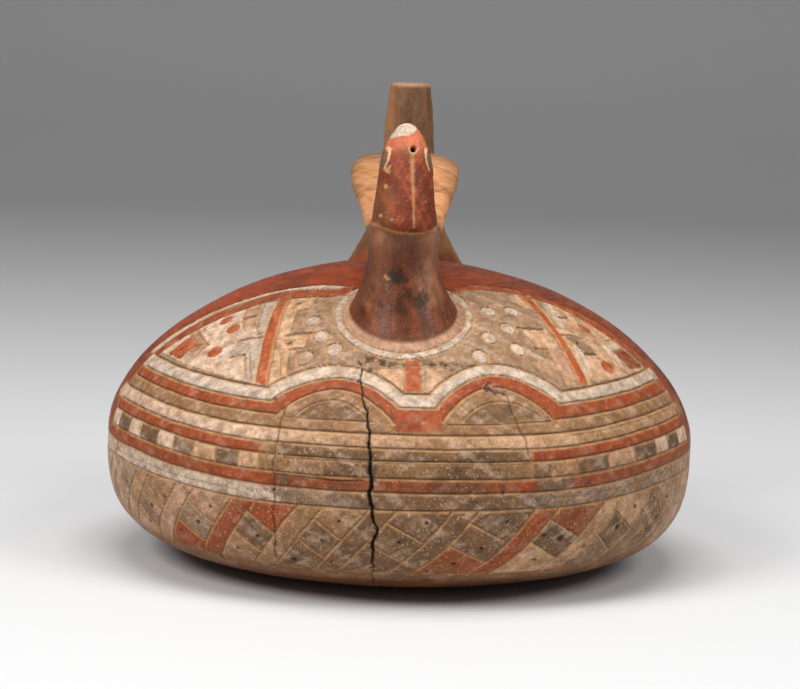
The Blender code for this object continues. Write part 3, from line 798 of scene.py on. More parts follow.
def paint_body(places):
    """Slip colours of the body, with painted shade over the right of the dome, and how much slip covers the
    clay.
    """
    angle, climb = unrolled(places)
    sideways, upwards = tremor(angle, climb)
    angle = angle + sideways
    climb = climb + upwards
    x = places[:, 0] / MM
    y = places[:, 1] / MM
    paint = Paint(len(places), "burnish")
    paint.tint("brown", rising(-climb, 8, 36) * 0.9)
    # painted shade: the dome is darkened patchily towards its right side
    right_dome_shade = rising(x, 8, 34) * falling(y, 25, 30) * (climb > 0)
    paint.tint("dark_burnish", right_dome_shade * (0.38 + 0.20 * hand_wave(x * 0.09, y * 0.11, 4.0)))
    front = np.abs(angle) < 100
    paint_bands(paint, angle, climb)
    paint_upper_panel(paint, angle, climb, x, y)
    collar = (np.hypot(x, y - neck_middle) < collar_radius) & (climb > 0)
    hidden = Paint(len(places), "burnish")
    paint_collar(hidden, x, y)
    paint.colour[collar] = hidden.colour[collar]
    paint.cover[collar] = hidden.cover[collar]
    dull = falling(np.abs(angle + 1), 26, 14) * falling(climb, 24, 12)
    fresh_red = paint.colour[:, 0] > 3.4 * paint.colour[:, 1]
    paint.tint("earth", front * paint.cover * dull * np.where(fresh_red, 0.24, 0.42))
    level = climb - lift(angle)
    rows = (level > levels["pale"]) & (level <= levels["red"])
    sunk = rows * dull * (0.20 + 0.32 * rising(angle, 2, 8))
    paint.colour = paint.colour * (1 - sunk)[:, None]
    cream_row = (level > levels["red"]) & (level <= levels["cream"]) & (paint.cover > 0)
    paint.tint("pale_cream", cream_row * rising(-angle, 14, 20) * 0.8)
    paint.tint("tan", cream_row * rising(angle, 20, 20) * 0.85)
    rim = rising(np.abs(angle), 56, 14) * (level <= levels["pale"])
    paint.tint("pale_cream", front * rim * paint.cover * 0.58)
    greyed = rising(angle, 22, 14) * falling(climb, 6, 10)
    paint.tint("grey_brown", front * paint.cover * greyed * 0.28)
    redness = paint.colour[:, 0] / np.maximum(paint.colour[:, 1], 0.01)
    kept = np.where(redness > 3.4, 0.40, 1.0)
    for name, seed, start, strength in (("earth", 9.0, 0.10, 0.34), ("grey_brown", 2.5, 0.18, 0.30),
                                        ("pale_cream", 7.1, 0.15, 0.34), ("pink", 12.0, 0.15, 0.22)):
        blot = hand_wave(angle * 0.52 + 0.6 * seed, climb * 0.43, seed)
        blot = blot + 0.5 * hand_wave(angle * 1.3, climb * 1.1, seed + 3)
        paint.tint(name, kept * paint.cover * smooth_step((blot - start) / 0.5) * strength)
    panel = paint.cover > 0
    wear = np.where(panel, 0.55, 0.12 + 0.4 * rising(-climb, 44, 6))
    wear = np.where(panel & (redness > 3.4), 0.35, wear)
    wear = np.where(panel & (level < levels["pale"]), 0.95, wear)
    worn = np.where(fresh_red, 0.5, 0.95) * falling(np.abs(angle), 27, 6)
    wear = np.maximum(wear, panel * worn * (level < 17))
    return paint, np.where(collar, 0.85, wear)


def uphill(angle, climb):
    """Unit vectors along the body's surface, straight up its outline."""
    slope = np.interp(climb * MM, climbs, slopes)
    turn = np.radians(angle)
    flat = np.cos(slope)
    return np.stack([flat * np.sin(turn), -flat * np.cos(turn), np.sin(slope)], axis=-1)


def surface_marks(places, grooves, groove_tree, cracks, crack_tree):
    """Depth of every cut under a vertex, and masks of its dark side, losses, cracks and pale side. The dark
    side is dust with painted shadow, strongest on the cut's upper wall; the pale side is clay dust with
    painted light on its lower wall.
    """
    index, gap = nearest(groove_tree, places)
    width = grooves.widths[index]
    deep = np.clip(grooves.depths[index] / (0.45 * MM), 0, 1)
    cut = np.clip(1.25 - gap / width, 0, 1)
    angle, climb = unrolled(places)
    rise = np.sum((places - grooves.points[index]) * uphill(angle, climb), axis=1) / width
    depth = grooves.depths[index] * np.minimum(cut * 1.3, 1.0)
    # painted shade and light: each cut is darkened most along its upper wall and lightened just below its
    # middle, as if lit from above; dust and clay in the cut add to both
    upper = smooth_step((rise + 0.05) / 0.6)
    groove = smooth_step(cut * 1.6) * (0.22 + 0.78 * upper) * np.clip(deep * 1.4, 0, 1)
    worn = 0.75 + 0.45 * hand_wave(angle * 0.9, climb * 0.7, 6.0)
    pale = np.exp(-((rise + 0.40) / 0.65) ** 2) * falling(gap / width, 1.5, 0.6) * deep * worn
    index, gap = nearest(crack_tree, places)
    ragged = 1 + 0.30 * hand_wave(angle * 3.3, climb * 1.4, 3.0)
    open_share = np.clip(1.25 - gap / (cracks.widths[index] * ragged), 0, 1)
    crack = smooth_step(open_share * 1.7) * np.clip(cracks.depths[index] / (1.4 * MM), 0.5, 1)
    depth = np.maximum(depth, cracks.depths[index] * np.minimum(open_share * 1.4, 1.0))
    loss = np.zeros(len(places))
    for dot_angle, dot_climb, radius in punched_dots:
        center = on_body(dot_angle, dot_climb)
        share = np.clip(1 - np.linalg.norm(places - center, axis=1) / (radius * MM), 0, 1)
        depth = np.maximum(depth, 0.9 * MM * smooth_step(share * 1.3))
        groove = np.maximum(groove, smooth_step(share * 2))
    for chip_angle, chip_climb, radius, deep in losses:
        center = on_body(chip_angle, chip_climb)
        off = places - center
        ragged = 1 + 0.5 * hand_wave(off[:, 0] / MM * 1.9, off[:, 2] / MM * 1.7, chip_angle)
        share = np.clip(1.2 - np.linalg.norm(off, axis=1) / (radius * MM * ragged), 0, 1)
        depth = np.maximum(depth, deep * MM * smooth_step(share * 1.4))
        loss = np.maximum(loss, smooth_step(share * 2.2))
    return depth, np.column_stack([groove, loss, crack, pale])


def body_piece():
    """The hollow body: outer shell with the cut design, inner shell, joined under the necks."""
    grooves = Drawing()
    draw_bands(grooves)
    draw_checks(grooves)
    draw_zigzag(grooves)
    draw_upper_panel(grooves)
    groove_tree = grooves.tree()
    cracks = Drawing()
    draw_cracks(cracks)
    crack_tree = cracks.tree()
    edges = Drawing()
    patch_edges(edges)
    edge_tree = edges.tree()
    bm = spun_shell(0.0, outer_step, outer_turns)
    open_under_necks(bm)
    bmesh.ops.triangulate(bm, faces=bm.faces)
    refine(bm, [groove_tree, crack_tree, edge_tree], finest_edge)
    snap(bm, grooves, groove_tree, snap_reach)
    places = vertex_places(bm)
    paint, wear = paint_body(places)
    depth, marks = surface_marks(places, grooves, groove_tree, cracks, crack_tree)
    marks[:, 3] *= 0.4 + 0.6 * paint.cover
    true_angle, true_climb = unrolled(places)
    swell = wall_waver * hand_wave(true_angle * 0.05, true_climb * 0.06, 0.4) * (places[:, 2] > 0.004)
    moved = places + outward(true_angle, true_climb) * (swell - depth)[:, None]
    moved[:, 2] = np.maximum(moved[:, 2], 0.0)
    place_vertices(bm, moved)
    inner = spun_shell(wall, inner_step, inner_turns)
    open_under_necks(inner)
    inner_mesh = bpy.data.meshes.new("inner_shell")
    inner.to_mesh(inner_mesh)
    inner.free()
    outer_count = len(bm.verts)
    bm.from_mesh(inner_mesh)
    bpy.data.meshes.remove(inner_mesh)
    for axis in (neck_axis, spout_axis):
        rim = [edge for edge in bm.edges
               if edge.is_boundary and abs(edge.verts[0].co.y - axis) < 0.035]
        bmesh.ops.bridge_loops(bm, edges=rim)
    bmesh.ops.recalc_face_normals(bm, faces=bm.faces)
    piece = as_object("vessel_body", bm)
    count = len(piece.data.vertices)
    pigment = np.tile(np.append(linear("earth"), 0.0), (count, 1))
    pigment[:outer_count, :3] = paint.colour
    pigment[:outer_count, 3] = paint.cover
    all_marks = np.zeros((count, 4))
    all_marks[:outer_count] = marks
    final = np.array([vert.co[:] for vert in piece.data.vertices])
    turn = np.arctan2(final[:, 0], -final[:, 1])
    _, final_climb = unrolled(final)
    all_wear = np.full(count, 0.5)
    all_wear[:outer_count] = wear
    wrap = np.column_stack([0.13 * np.sin(turn), -0.13 * np.cos(turn), final_climb * MM, all_wear])
    store(piece, "pigment", pigment)
    store(piece, "marks", all_marks)
    store(piece, "wrap", wrap)
    return piece


def loft(name, rings):
    """A closed solid skinned over rings that all have the same number of points."""
    bm = bmesh.new()
    loops = []
    for ring in rings:
        verts = [bm.verts.new(point) for point in ring]
        loops.append([bm.edges.new((verts[i - 1], verts[i])) for i in range(len(verts))])
    bmesh.ops.contextual_create(bm, geom=loops[0])
    bmesh.ops.contextual_create(bm, geom=loops[-1])
    for lower, upper in zip(loops[:-1], loops[1:]):
        bmesh.ops.bridge_loops(bm, edges=lower + upper)
    bmesh.ops.recalc_face_normals(bm, faces=bm.faces)
    return as_object(name, bm)


def around(sides):
    return [2 * math.pi * index / sides for index in range(sides)]


def flare_rings(shape, sides, count, inset=0.0):
    """Rings of a neck's flare, from below the dome's surface up to its waist."""
    axis, waist_height, waist_radius, base_radius, flare = shape
    rings = []
    skirt = ((1.9 * MM, -5.0 * MM), (1.9 * MM, -0.15 * MM), (0.8 * MM, 0.35 * MM)) if not inset else ()
    for wider, rise in skirt:
        ring = []
        for turn in around(sides):
            x = (base_radius + wider) * math.sin(turn)
            y = axis - (base_radius + wider) * math.cos(turn)
            ring.append((x, y, float(dome_height(x, y)) + rise))
        rings.append(ring)
    for step in range(count):
        share = (1.0 - step / count) * (0.965 if not inset else 1.0)
        radius = waist_radius + (base_radius - waist_radius) * share ** flare - inset
        ring = []
        for turn in around(sides):
            x = radius * math.sin(turn)
            y = axis - radius * math.cos(turn)
            ring.append((x, y, waist_height + (float(dome_height(x, y)) - waist_height) * share))
        rings.append(ring)
    return rings


def level_ring(axis, height, half_width, front, back, sides, squareness=2.0):
    """A level ring with its own reach to the front, to the back and to each side."""
    power = 2.0 / squareness
    ring = []
    for turn in around(sides):
        sine = math.sin(turn)
        cosine = math.cos(turn)
        reach = front if cosine > 0 else back
        ring.append((half_width * math.copysign(abs(sine) ** power, sine),
                     axis - reach * math.copysign(abs(cosine) ** power, cosine), height))
    return ring


def round_ring(axis, height, radius, sides):
    return level_ring(axis, height, radius, radius, radius, sides)


def head_rings(sides):
    """Bird's head: broad bill hung in front, brow, rounded crown.

    Each row is a height, the reach to the front, to the back and to each side, as shares of the
    head's height, and how square the ring is.
    """
    rows = np.array((
        (0.000, 0.290, 0.288, 0.288, 2.0),
        (0.060, 0.296, 0.292, 0.296, 2.0),
        (0.090, 0.330, 0.292, 0.300, 2.2),
        (0.105, 0.405, 0.292, 0.288, 2.4),
        (0.130, 0.448, 0.290, 0.276, 2.6),
        (0.180, 0.460, 0.288, 0.270, 2.6),
        (0.350, 0.408, 0.270, 0.244, 2.6),
        (0.530, 0.332, 0.245, 0.226, 2.5),
        (0.640, 0.282, 0.232, 0.208, 2.4),
        (0.740, 0.246, 0.216, 0.190, 2.4),
        (0.830, 0.178, 0.184, 0.156, 2.2),
        (0.905, 0.118, 0.142, 0.108, 2.0),
        (0.950, 0.072, 0.104, 0.072, 2.0),
        (0.970, 0.024, 0.054, 0.028, 2.0),
    ))
    rings = []
    for share in np.unique(np.concatenate([np.linspace(0, 0.96, 34), rows[:, 0]])):
        front, back, side, squareness = (np.interp(share, rows[:, 0], rows[:, i]) for i in (1, 2, 3, 4))
        level = neck_waist_height + share * head_height
        sizes = [float(part) * head_height for part in (side, front, back)]
        rings.append(level_ring(neck_axis, level, *sizes, sides, float(squareness)))
    return rings


def front_neck():
    return loft("front_neck", flare_rings(neck_shape, neck_sides, 18) + head_rings(neck_sides))


def front_neck_hollow():
    inner = flare_rings(neck_shape, 32, 8, inset=neck_wall)
    foot = [(x, y, z - 2.4 * wall) for x, y, z in inner[0]]
    radius = neck_waist_radius - neck_wall
    for share, narrow in ((0.0, 1.0), (0.5, 0.85), (1.0, 0.4)):
        height = neck_waist_height + share * head_hollow_height
        inner.append(round_ring(neck_axis, height, radius * narrow, 32))
    return loft("front_neck_hollow", [foot] + inner)


def rear_spout():
    """The flare, the shaft and the round lip of the spout, still solid."""
    rings = flare_rings(spout_shape, neck_sides, 18)
    lip = 1.6 * MM
    shaft = spout_height - lip - spout_waist_height
    for share in np.linspace(0, 1, 14):
        radius = spout_waist_radius + (spout_lip_radius - spout_waist_radius) * float(share) ** 2
        rings.append(round_ring(spout_axis, spout_waist_height + shaft * float(share), radius, neck_sides))
    for turn in (0.5, 0.85, 1.0, 1.25):
        angle = turn * math.pi / 2
        radius = spout_lip_radius - lip + lip * math.cos(angle)
        rings.append(round_ring(spout_axis, spout_height - lip + lip * math.sin(angle), radius, neck_sides))
    return loft("rear_spout", rings)


def spout_bore():
    inner = flare_rings(spout_shape, 40, 8, inset=spout_waist_radius - spout_bore_radius)
    foot = [(x, y, z - 2.4 * wall) for x, y, z in inner[0]]
    for height, wider in ((spout_waist_height, 0.0), (spout_height - 2.5 * MM, 0.2 * MM),
                          (spout_height - 0.8 * MM, 0.9 * MM), (spout_height + 2 * MM, 2.4 * MM)):
        inner.append(round_ring(spout_axis, height, spout_bore_radius + wider, 40))
    return loft("spout_bore", [foot] + inner)


def bridge_path(steps):
    """Centre line of the strap, rising steeply off the neck and levelling to the spout."""
    start = Vector((0, neck_axis + 0.5 * neck_waist_radius, bridge_start_height))
    start_pull = Vector((0, 0.62 * neck_axis, bridge_start_height + 0.0165))
    end_pull = Vector((0, 0.15 * spout_axis, bridge_end_height - 0.0015))
    end = Vector((0, spout_axis - 0.7 * spout_waist_radius, bridge_end_height))
    return interpolate_bezier(start, start_pull, end_pull, end, steps + 1)


def bridge():
    """Strap bridge: flat, a little hollow along its middle, with soft round edges."""
    steps = 60
    path = bridge_path(steps)
    half_thick = bridge_thickness / 2
    rings = []
    for index, point in enumerate(path):
        share = index / steps
        ahead = path[min(index + 1, steps)] - path[max(index - 1, 0)]
        ahead.normalize()
        upright = Vector((0, -ahead.z, ahead.y))
        half_width = float(np.interp(share, np.linspace(0, 1, len(bridge_half_widths)), bridge_half_widths))
        ring = []
        for turn in around(56):
            across = half_width * math.copysign(abs(math.cos(turn)) ** 0.55, math.cos(turn))
            level = half_thick * math.copysign(abs(math.sin(turn)) ** 0.75, math.sin(turn))
            dip = 0.5 * MM * math.cos(math.pi / 2 * across / half_width) * (1 if level > 0 else 0)
            ring.append(point + Vector((across, 0, 0)) + upright * (level - dip))
        rings.append(ring)
    return loft("bridge", rings)


def boolean(base, other, operation):
    """Join a solid to the base, or cut it out."""
    step = base.modifiers.new(other.name, "BOOLEAN")
    step.operation = operation
    step.solver = "EXACT"
    step.object = other


def baked(name, item):
    """A new mesh object with the item's modifiers in its mesh."""
    bpy.context.view_layer.update()
    mesh = bpy.data.meshes.new_from_object(item.evaluated_get(bpy.context.evaluated_depsgraph_get()))
    mesh.name = name
    return in_scene(name, mesh)


def soften_joints(bm, places):
    """Smooth the wet-clay joints where the strap runs into the neck and into the spout."""
    joint_rounds = 14
    for center, radius in (((0, -0.0585, 0.157), 0.017), ((0, 0.0600, 0.1745), 0.014)):
        near = np.linalg.norm(places - np.array(center), axis=1) < radius
        verts = [vert for vert, chosen in zip(bm.verts, near) if chosen and vert.co.y > -0.0775]
        smooth(bm, verts, joint_rounds)


# Eyes and vent of the bird's head, in millimetres: forward of the neck's axis or across, and height
eye_place = (5.4, 180.4)
eye_lead = 1.4
eye_size = (4.0, 5.8)
vent_place = (2.9, 186.2)
vent_radius = 1.35


def head_frame(places):
    """Places relative to the bird's turned face: across, forward and height, in millimetres."""
    turn = math.radians(9.0)
    x = places[:, 0] / MM
    y = (places[:, 1] - neck_axis) / MM
    across = x * math.cos(turn) + y * math.sin(turn)
    forward = x * math.sin(turn) - y * math.cos(turn)
    return across, forward, places[:, 2] / MM


def eye_distance(places):
    """How far places are from the nearer eye's centre, 1 at the eye's rim, and the way up its rim."""
    x = places[:, 0] / MM
    forward = (neck_axis - places[:, 1]) / MM - np.where(x < 0, eye_lead, 0.0)
    along_face = (forward - eye_place[0]) / eye_size[0]
    up = (places[:, 2] / MM - eye_place[1]) / eye_size[1]
    away = np.hypot(along_face, up) + 9.0 * (np.abs(x) < 4) + 9.0 * (forward < -2)
    return away, along_face + 0.7 * up


def vent_gap(places):
    """How far places are from the middle of the small hole pierced in the forehead, 1 at its rim."""
    x = places[:, 0] / MM - vent_place[0]
    z = places[:, 2] / MM - vent_place[1]
    return np.hypot(x, z) / vent_radius + 9.0 * (places[:, 1] > neck_axis)


def ridge_line(across, forward, height):
    """Share of the rough line that runs down the middle of the face, wider towards the hole."""
    half = np.interp(height, (154, 168, 184), (0.5, 0.75, 1.3))
    half = half * (1 + 0.3 * hand_wave(height * 1.7, 0.0, 1.0))
    share = np.clip(1.25 - np.abs(across - 0.4) / half, 0, 1)
    return share * (forward > 4) * (height > 154.5) * (height < 185.5)


def carve_head(places):
    """Depths of the bird's ridge line, vent, brow, eyes and bill edge, and of small knocks."""
    across, forward, height = head_frame(places)
    ridge = ridge_line(across, forward, height)
    depth = 0.45 * MM * ridge * (0.7 + 0.3 * hand_wave(height, across * 0.2, 0.0))
    depth = depth + 3.2 * MM * falling(vent_gap(places), 1.06, 0.55)
    brow = np.exp(-((height - 190.2 + 0.03 * across ** 2) / 0.6) ** 2) * (forward > 3)
    depth = depth + 0.15 * MM * brow
    away, _ = eye_distance(places)
    depth = depth - 0.70 * MM * falling(away, 1.12, 0.28)
    depth = depth + 0.70 * MM * np.exp(-((away - 0.74) / 0.13) ** 2)
    edge = np.exp(-((height - 151.2 - bill_rise(across)) / 0.55) ** 2) * (forward > 3)
    depth = depth + 0.25 * MM * edge
    worn = 0.20 * hand_wave(places[:, 0] / MM * 0.45, places[:, 2] / MM * 0.35, 1.3)
    knocks = 0.12 * hand_wave(places[:, 0] / MM * 1.3, places[:, 2] / MM * 1.1 + places[:, 1] / MM, 2.3)
    return depth + MM * (worn + knocks) * (height > 120)


def bill_rise(across):
    """How far the bill's lower edge curls up towards its corners, in millimetres."""
    return 1.5 * np.minimum((np.abs(across) / 13) ** 2, 1.2)


def set_by_hand(places):
    """Lean the necks and strap a little to the bird's left and curl the bill's corners up."""
    across, forward, height = head_frame(places)
    y = places[:, 1] / MM
    lean = np.interp(y, (-90, -60, 0, 45, 62), (1.0, 1.0, 1.5, 1.2, 0.0)) * rising(height, 112, 26)
    placed = places.copy()
    placed[:, 0] -= lean * MM
    near_edge = np.exp(-((height - 152) / 4.5) ** 2) * rising(forward, 1, 6) * (y < -60)
    placed[:, 2] += bill_rise(across) * near_edge * MM
    return placed


def paint_necks(places):
    """Slip colours of the necks, the bird's head and the strap, with painted highlights down both sides of
    the front neck.
    """
    across, forward, height = head_frame(places)
    x = places[:, 0] / MM
    y = places[:, 1] / MM
    in_front = y < -40
    paint = Paint(len(places), "neck_brown")
    over_dome = height - dome_height(places[:, 0], places[:, 1]) / MM
    rear = rising(y, 6, 14)
    paint.tint("burnish", rear * 0.9)
    paint.tint("strap_brown", rear * rising(over_dome, 1, 10) * 0.85)
    # painted highlight: pale upright bands down the left and right of the front neck
    turned = np.degrees(np.arctan2(x, -y - 72)) + 7 * hand_wave(height * 0.12, x * 0.1, 5.0)
    band = np.exp(-((turned + 44) / 17) ** 2) * 0.8 + np.exp(-((turned - 46) / 19) ** 2)
    painted_side_highlight = band * rising(height, 116, 10) * in_front
    paint.tint("neck_glow", painted_side_highlight * (0.62 + 0.25 * hand_wave(x * 0.5, height * 0.4, 2.0)))
    paint.tint("neck_glow", rising(height, 138, 14) * in_front * 0.22)
    strap = smooth_step((y + 62) / 5) * falling(y, 63, 4) * rising(height, 147, 3)
    strap = strap * (np.hypot(x, y - 72) > 12.9)
    side = np.abs(x + 1.4) / 24
    paint.tint("strap_tan", strap * (0.95 - 0.35 * side))
    paint.tint("strap_brown", strap * rising(side, 0.62, 0.4) * 0.75)
    paint.tint("spout_brown", strap * rising(y, 10, 40) * 0.85)
    paint.colour = paint.colour * (1 + 0.38 * strap * rising(x, 5, 10))[:, None]
    spout = rising(y, 50, 4) * (np.hypot(x, y - 72) < 13.6) * rising(height, 160, 8)
    paint.tint("spout_brown", spout)
    patch = hand_wave(x * 0.33, y * 0.21 + height * 0.3, 3.0) + 0.6 * hand_wave(x * 0.9, y * 0.8, 8.0)
    paint.tint("strap_brown", strap * rising(patch, 0.1, 0.6) * 0.5)
    paint.tint("pink", strap * rising(-patch, 0.1, 0.6) * 0.45)
    streak = np.exp(-((x - 0.5 + hand_wave(height * 0.2, x * 0.1, 0.0)) / 2.6) ** 2) * (y < 72)
    paint.tint("dark_burnish", spout * streak * 0.42)
    paint.tint("strap_tan", spout * falling(x, -5, 5) * 0.35)
    paint.tint("pinkish_tan", spout * rising(height, 207.6, 1.2) * 0.8)
    paint.cover = np.maximum(strap * 0.45, spout * 0.35)
    head = (y < -58) & (height > 151.3 + bill_rise(across)) & (forward > -6.5)
    paint.lay(head, "face_red", 0.75)
    blot = hand_wave(across * 0.55, height * 0.37, 2.0) + 0.5 * hand_wave(across * 1.4, height * 1.1, 7.0)
    paint.tint("bright_red", head * rising(blot, 0.05, 0.5) * 0.50)
    paint.tint("dark_burnish", head * rising(-blot, 0.15, 0.5) * 0.30)
    paint.tint("coral", head * rising(height, 176, 12) * 0.25)
    paint.tint("earth", head * rising(-across, 6, 4) * falling(height, 177, 8) * 0.40)
    paint.tint("coral", head * smooth_step((height - 184.6 + 0.7 * blot) / 3.4) * 0.95)
    dip = np.where(across < -1.6, -0.045, 0.10) * (across + 1.6) ** 2
    paint.lay((y < -50) & (height > 191.2 + dip) & (height > 187.4), "white", 0.95)
    nape = (y < -50) & (height > 186) & (forward < -5)
    paint.lay(nape & (across > 1), "coral", 0.75)
    paint.lay(nape & (across <= 1), "white", 0.95)
    away, upper = eye_distance(places)
    paint.lay(away < 1.02, "dull_red", 0.7)
    paint.lay((away < 1.08) & (away > 0.70) & (upper > 0.45), "cream", 0.9)
    paint.lay(away < 0.78, "eye_grey", 0.6)
    edge = np.exp(-((height - 151.5 - bill_rise(across)) / 0.7) ** 2) * (forward > 2) * (y < -60)
    paint.tint("cut_clay_and_lit_edge", edge * 0.75)
    paint.tint("cut_clay_and_lit_edge", ridge_line(across, forward, height) * 0.62)
    paint.tint("cream", np.exp(-((vent_gap(places) - 1.35) / 0.28) ** 2) * (height < 186.8) * 0.75)
    gap = np.hypot(x, y - neck_middle)
    collar = (gap > collar_foot) & (height < 126) & (y < -30)
    ring = Paint(len(places), "pink")
    paint_collar(ring, x, y)
    share = rising(gap, 22.2, 1.0)[:, None]
    paint.colour = np.where(collar[:, None], ring.colour * share + paint.colour * (1 - share), paint.colour)
    paint.cover = np.where(collar, 0.9, paint.cover)
    return paint


neck_clouds = (
    ((-2.5, -87, 133.5), 3.6, 0.85), ((1, -87, 132.5), 2.2, 0.8), ((2.5, -89, 127), 3.6, 0.7),
    ((8, -89, 124.5), 3.8, 0.8), ((12.5, -88, 126), 3.0, 0.6), ((-1, -92, 121.5), 4.5, 0.5),
    ((20.5, -84, 119.5), 3.6, 0.85), ((-11, -90, 121), 4.6, 0.45), ((5, -94, 118), 5.0, 0.4),
    ((-19, -84, 119), 4.0, 0.5), ((-14, -84, 128), 3.0, 0.35), ((16, -87, 121), 3.5, 0.35),
    ((21.5, -80, 123), 3.0, 0.7), ((4.5, -91, 123), 3.2, 0.55), ((-21, -81, 122), 2.4, 0.4),
)
neck_scuffs = (((-7.5, -86.5, 133.4), 1.1), ((-6.2, -86.8, 132.8), 0.8), ((13.2, -90, 118.5), 1.3),
               ((14.6, -89.5, 117), 1.2), ((6, -88, 136), 0.6))
face_scuffs = ((-8.0, 170.5, 0.9), (-7.6, 177.0, 1.2), (-6.6, 178.6, 0.7), (-9.6, 158.5, 0.8),
               (-5.0, 157.5, 0.5), (8.6, 165.0, 0.4))


def neck_marks(places):
    """Black fire-clouds and small light scuffs of the front neck, the knocks of the head, and painted shade
    inside its vent hole.
    """
    marks = np.zeros((len(places), 4))
    points = places / MM
    for center, radius, strength in neck_clouds:
        gap = np.linalg.norm(points - np.array(center), axis=1)
        ragged = 1 + 0.6 * hand_wave(points[:, 0] * 1.1, points[:, 2] * 1.3, center[0])
        soot = strength * smooth_step((1.25 - gap / (radius * ragged)) / 0.7)
        marks[:, 2] = np.maximum(marks[:, 2], 0.95 * soot)
    for center, radius in neck_scuffs:
        gap = np.linalg.norm(points - np.array(center), axis=1)
        marks[:, 3] = np.maximum(marks[:, 3], falling(gap / radius, 1.3, 0.6))
    for x, height, radius in face_scuffs:
        gap = np.hypot(points[:, 0] - x, points[:, 2] - height)
        gap = gap * (1 + 0.4 * hand_wave(points[:, 0] * 1.5, points[:, 2] * 1.2, x))
        gap = gap + 9.0 * (points[:, 1] > neck_middle)
        marks[:, 3] = np.maximum(marks[:, 3], 0.8 * falling(gap / radius, 1.3, 0.8))
    # painted shade: the inside of the vent hole is darkened through the crack channel
    marks[:, 2] = np.maximum(marks[:, 2], falling(vent_gap(places), 0.98, 0.30))
    return marks


def neck_piece():
    """Front neck with the bird's head, the strap bridge and the open spout, as one clay body."""
    base = front_neck()
    makers = [(rear_spout(), "UNION"), (bridge(), "UNION"), (front_neck_hollow(), "DIFFERENCE"),
              (spout_bore(), "DIFFERENCE")]
    for item, operation in makers:
        boolean(base, item, operation)
    skin = base.modifiers.new("even_skin", "REMESH")
    skin.mode = "VOXEL"
    skin.voxel_size = skin_voxel
    piece = baked("necks_and_bridge", base)
    for item, _ in makers:
        bpy.data.objects.remove(item, do_unlink=True)
    bpy.data.objects.remove(base, do_unlink=True)
    bm = bmesh.new()
    bm.from_mesh(piece.data)
    soften_joints(bm, vertex_places(bm))
    smooth(bm, [vert for vert in bm.verts if vert.co.z > 0.128], 1)
    plain = [vert for vert in bm.verts if vert.co.y > -0.056 and 0.128 < vert.co.z < 0.2045]
    smooth(bm, plain, 4)
    face = [edge for edge in bm.edges
            if edge.verts[0].co.y < -0.060 and edge.verts[0].co.z > 0.148 and edge.verts[0].co.z < 0.20]
    bmesh.ops.subdivide_edges(bm, edges=face, cuts=1, use_grid_fill=True)
    gap = vent_gap(vertex_places(bm))
    bm.verts.index_update()
    rim = [edge for edge in bm.edges if min(gap[vert.index] for vert in edge.verts) < 1.7]
    bmesh.ops.subdivide_edges(bm, edges=rim, cuts=1, use_grid_fill=True)
    bmesh.ops.triangulate(bm, faces=[each for each in bm.faces if len(each.verts) > 4])
    bm.normal_update()
    places = vertex_places(bm)
    normals = np.array([vert.normal[:] for vert in bm.verts])
    moved = set_by_hand(places - normals * carve_head(places)[:, None])
    place_vertices(bm, moved)
    bm.to_mesh(piece.data)
    bm.free()
    paint = paint_necks(places)
    store(piece, "pigment", np.column_stack([paint.colour, paint.cover]))
    store(piece, "marks", neck_marks(places))
    front = places[:, 1] < 0
    axis = np.where(front, neck_axis, spout_axis)
    turn = np.arctan2(places[:, 0], places[:, 1] - axis)
    wear = np.where(paint.cover > 0.5, 0.30, 0.20)
    wrap = np.column_stack([0.20 * np.sin(turn), 0.20 * np.cos(turn), 0.30 * places[:, 2], wear])
    strap = (np.abs(places[:, 1]) < 0.056) & (places[:, 2] > 0.145)
    wrap[strap, :3] = places[strap] * (0.5, 0.0, 0.0) + np.outer(places[strap, 1], (0.0, 0.3, 0.6))
    store(piece, "wrap", wrap)
    return piece


class Nodes:
    """Shorthand for wiring a material's nodes."""

    def __init__(self, material):
        self.tree = material.node_tree

    def feed(self, socket, value):
        """Link a socket to another node's output, or set it to a number or colour."""
        if isinstance(value, bpy.types.NodeSocket):
            self.tree.links.new(value, socket)
        else:
            socket.default_value = value

    def add(self, kind, inputs=None, **settings):
        node = self.tree.nodes.new(kind)
        for name, value in settings.items():
            setattr(node, name, value)
        for name, value in (inputs or {}).items():
            self.feed(node.inputs[name], value)
        return node

    def attribute(self, name):
        return self.add("ShaderNodeAttribute", attribute_name=name, attribute_type="GEOMETRY").outputs

    def stretched(self, vector, scale):
        return self.add("ShaderNodeMapping", {"Vector": vector, "Scale": scale}).outputs["Vector"]

    def moved(self, vector, offset):
        place = (offset, offset * 1.3, -offset)
        return self.add("ShaderNodeMapping", {"Vector": vector, "Location": place}).outputs["Vector"]

    def cloud(self, vector, scale, detail=4.0, rough=0.6):
        inputs = {"Vector": vector, "Scale": scale, "Detail": detail, "Roughness": rough}
        return self.add("ShaderNodeTexNoise", inputs).outputs["Fac"]

    def between(self, value, low, high, start=0.0, end=1.0):
        inputs = {"Value": value, "From Min": low, "From Max": high, "To Min": start, "To Max": end}
        return self.add("ShaderNodeMapRange", inputs, interpolation_type="SMOOTHSTEP").outputs["Result"]

    def reckon(self, operation, *values):
        node = self.add("ShaderNodeMath", operation=operation)
        for socket, value in zip(node.inputs, values):
            self.feed(socket, value)
        return node.outputs["Value"]

    def times(self, first, second):
        return self.reckon("MULTIPLY", first, second)

    def mix(self, share, first, second, blend="MIX"):
        node = self.add("ShaderNodeMix", data_type="RGBA", blend_type=blend)
        for name, value in (("Factor", share), ("A", first), ("B", second)):
            socket = [each for each in node.inputs if each.name == name and each.enabled][0]
            self.feed(socket, (*value, 1.0) if isinstance(value, np.ndarray) else value)
        return [each for each in node.outputs if each.enabled][0]


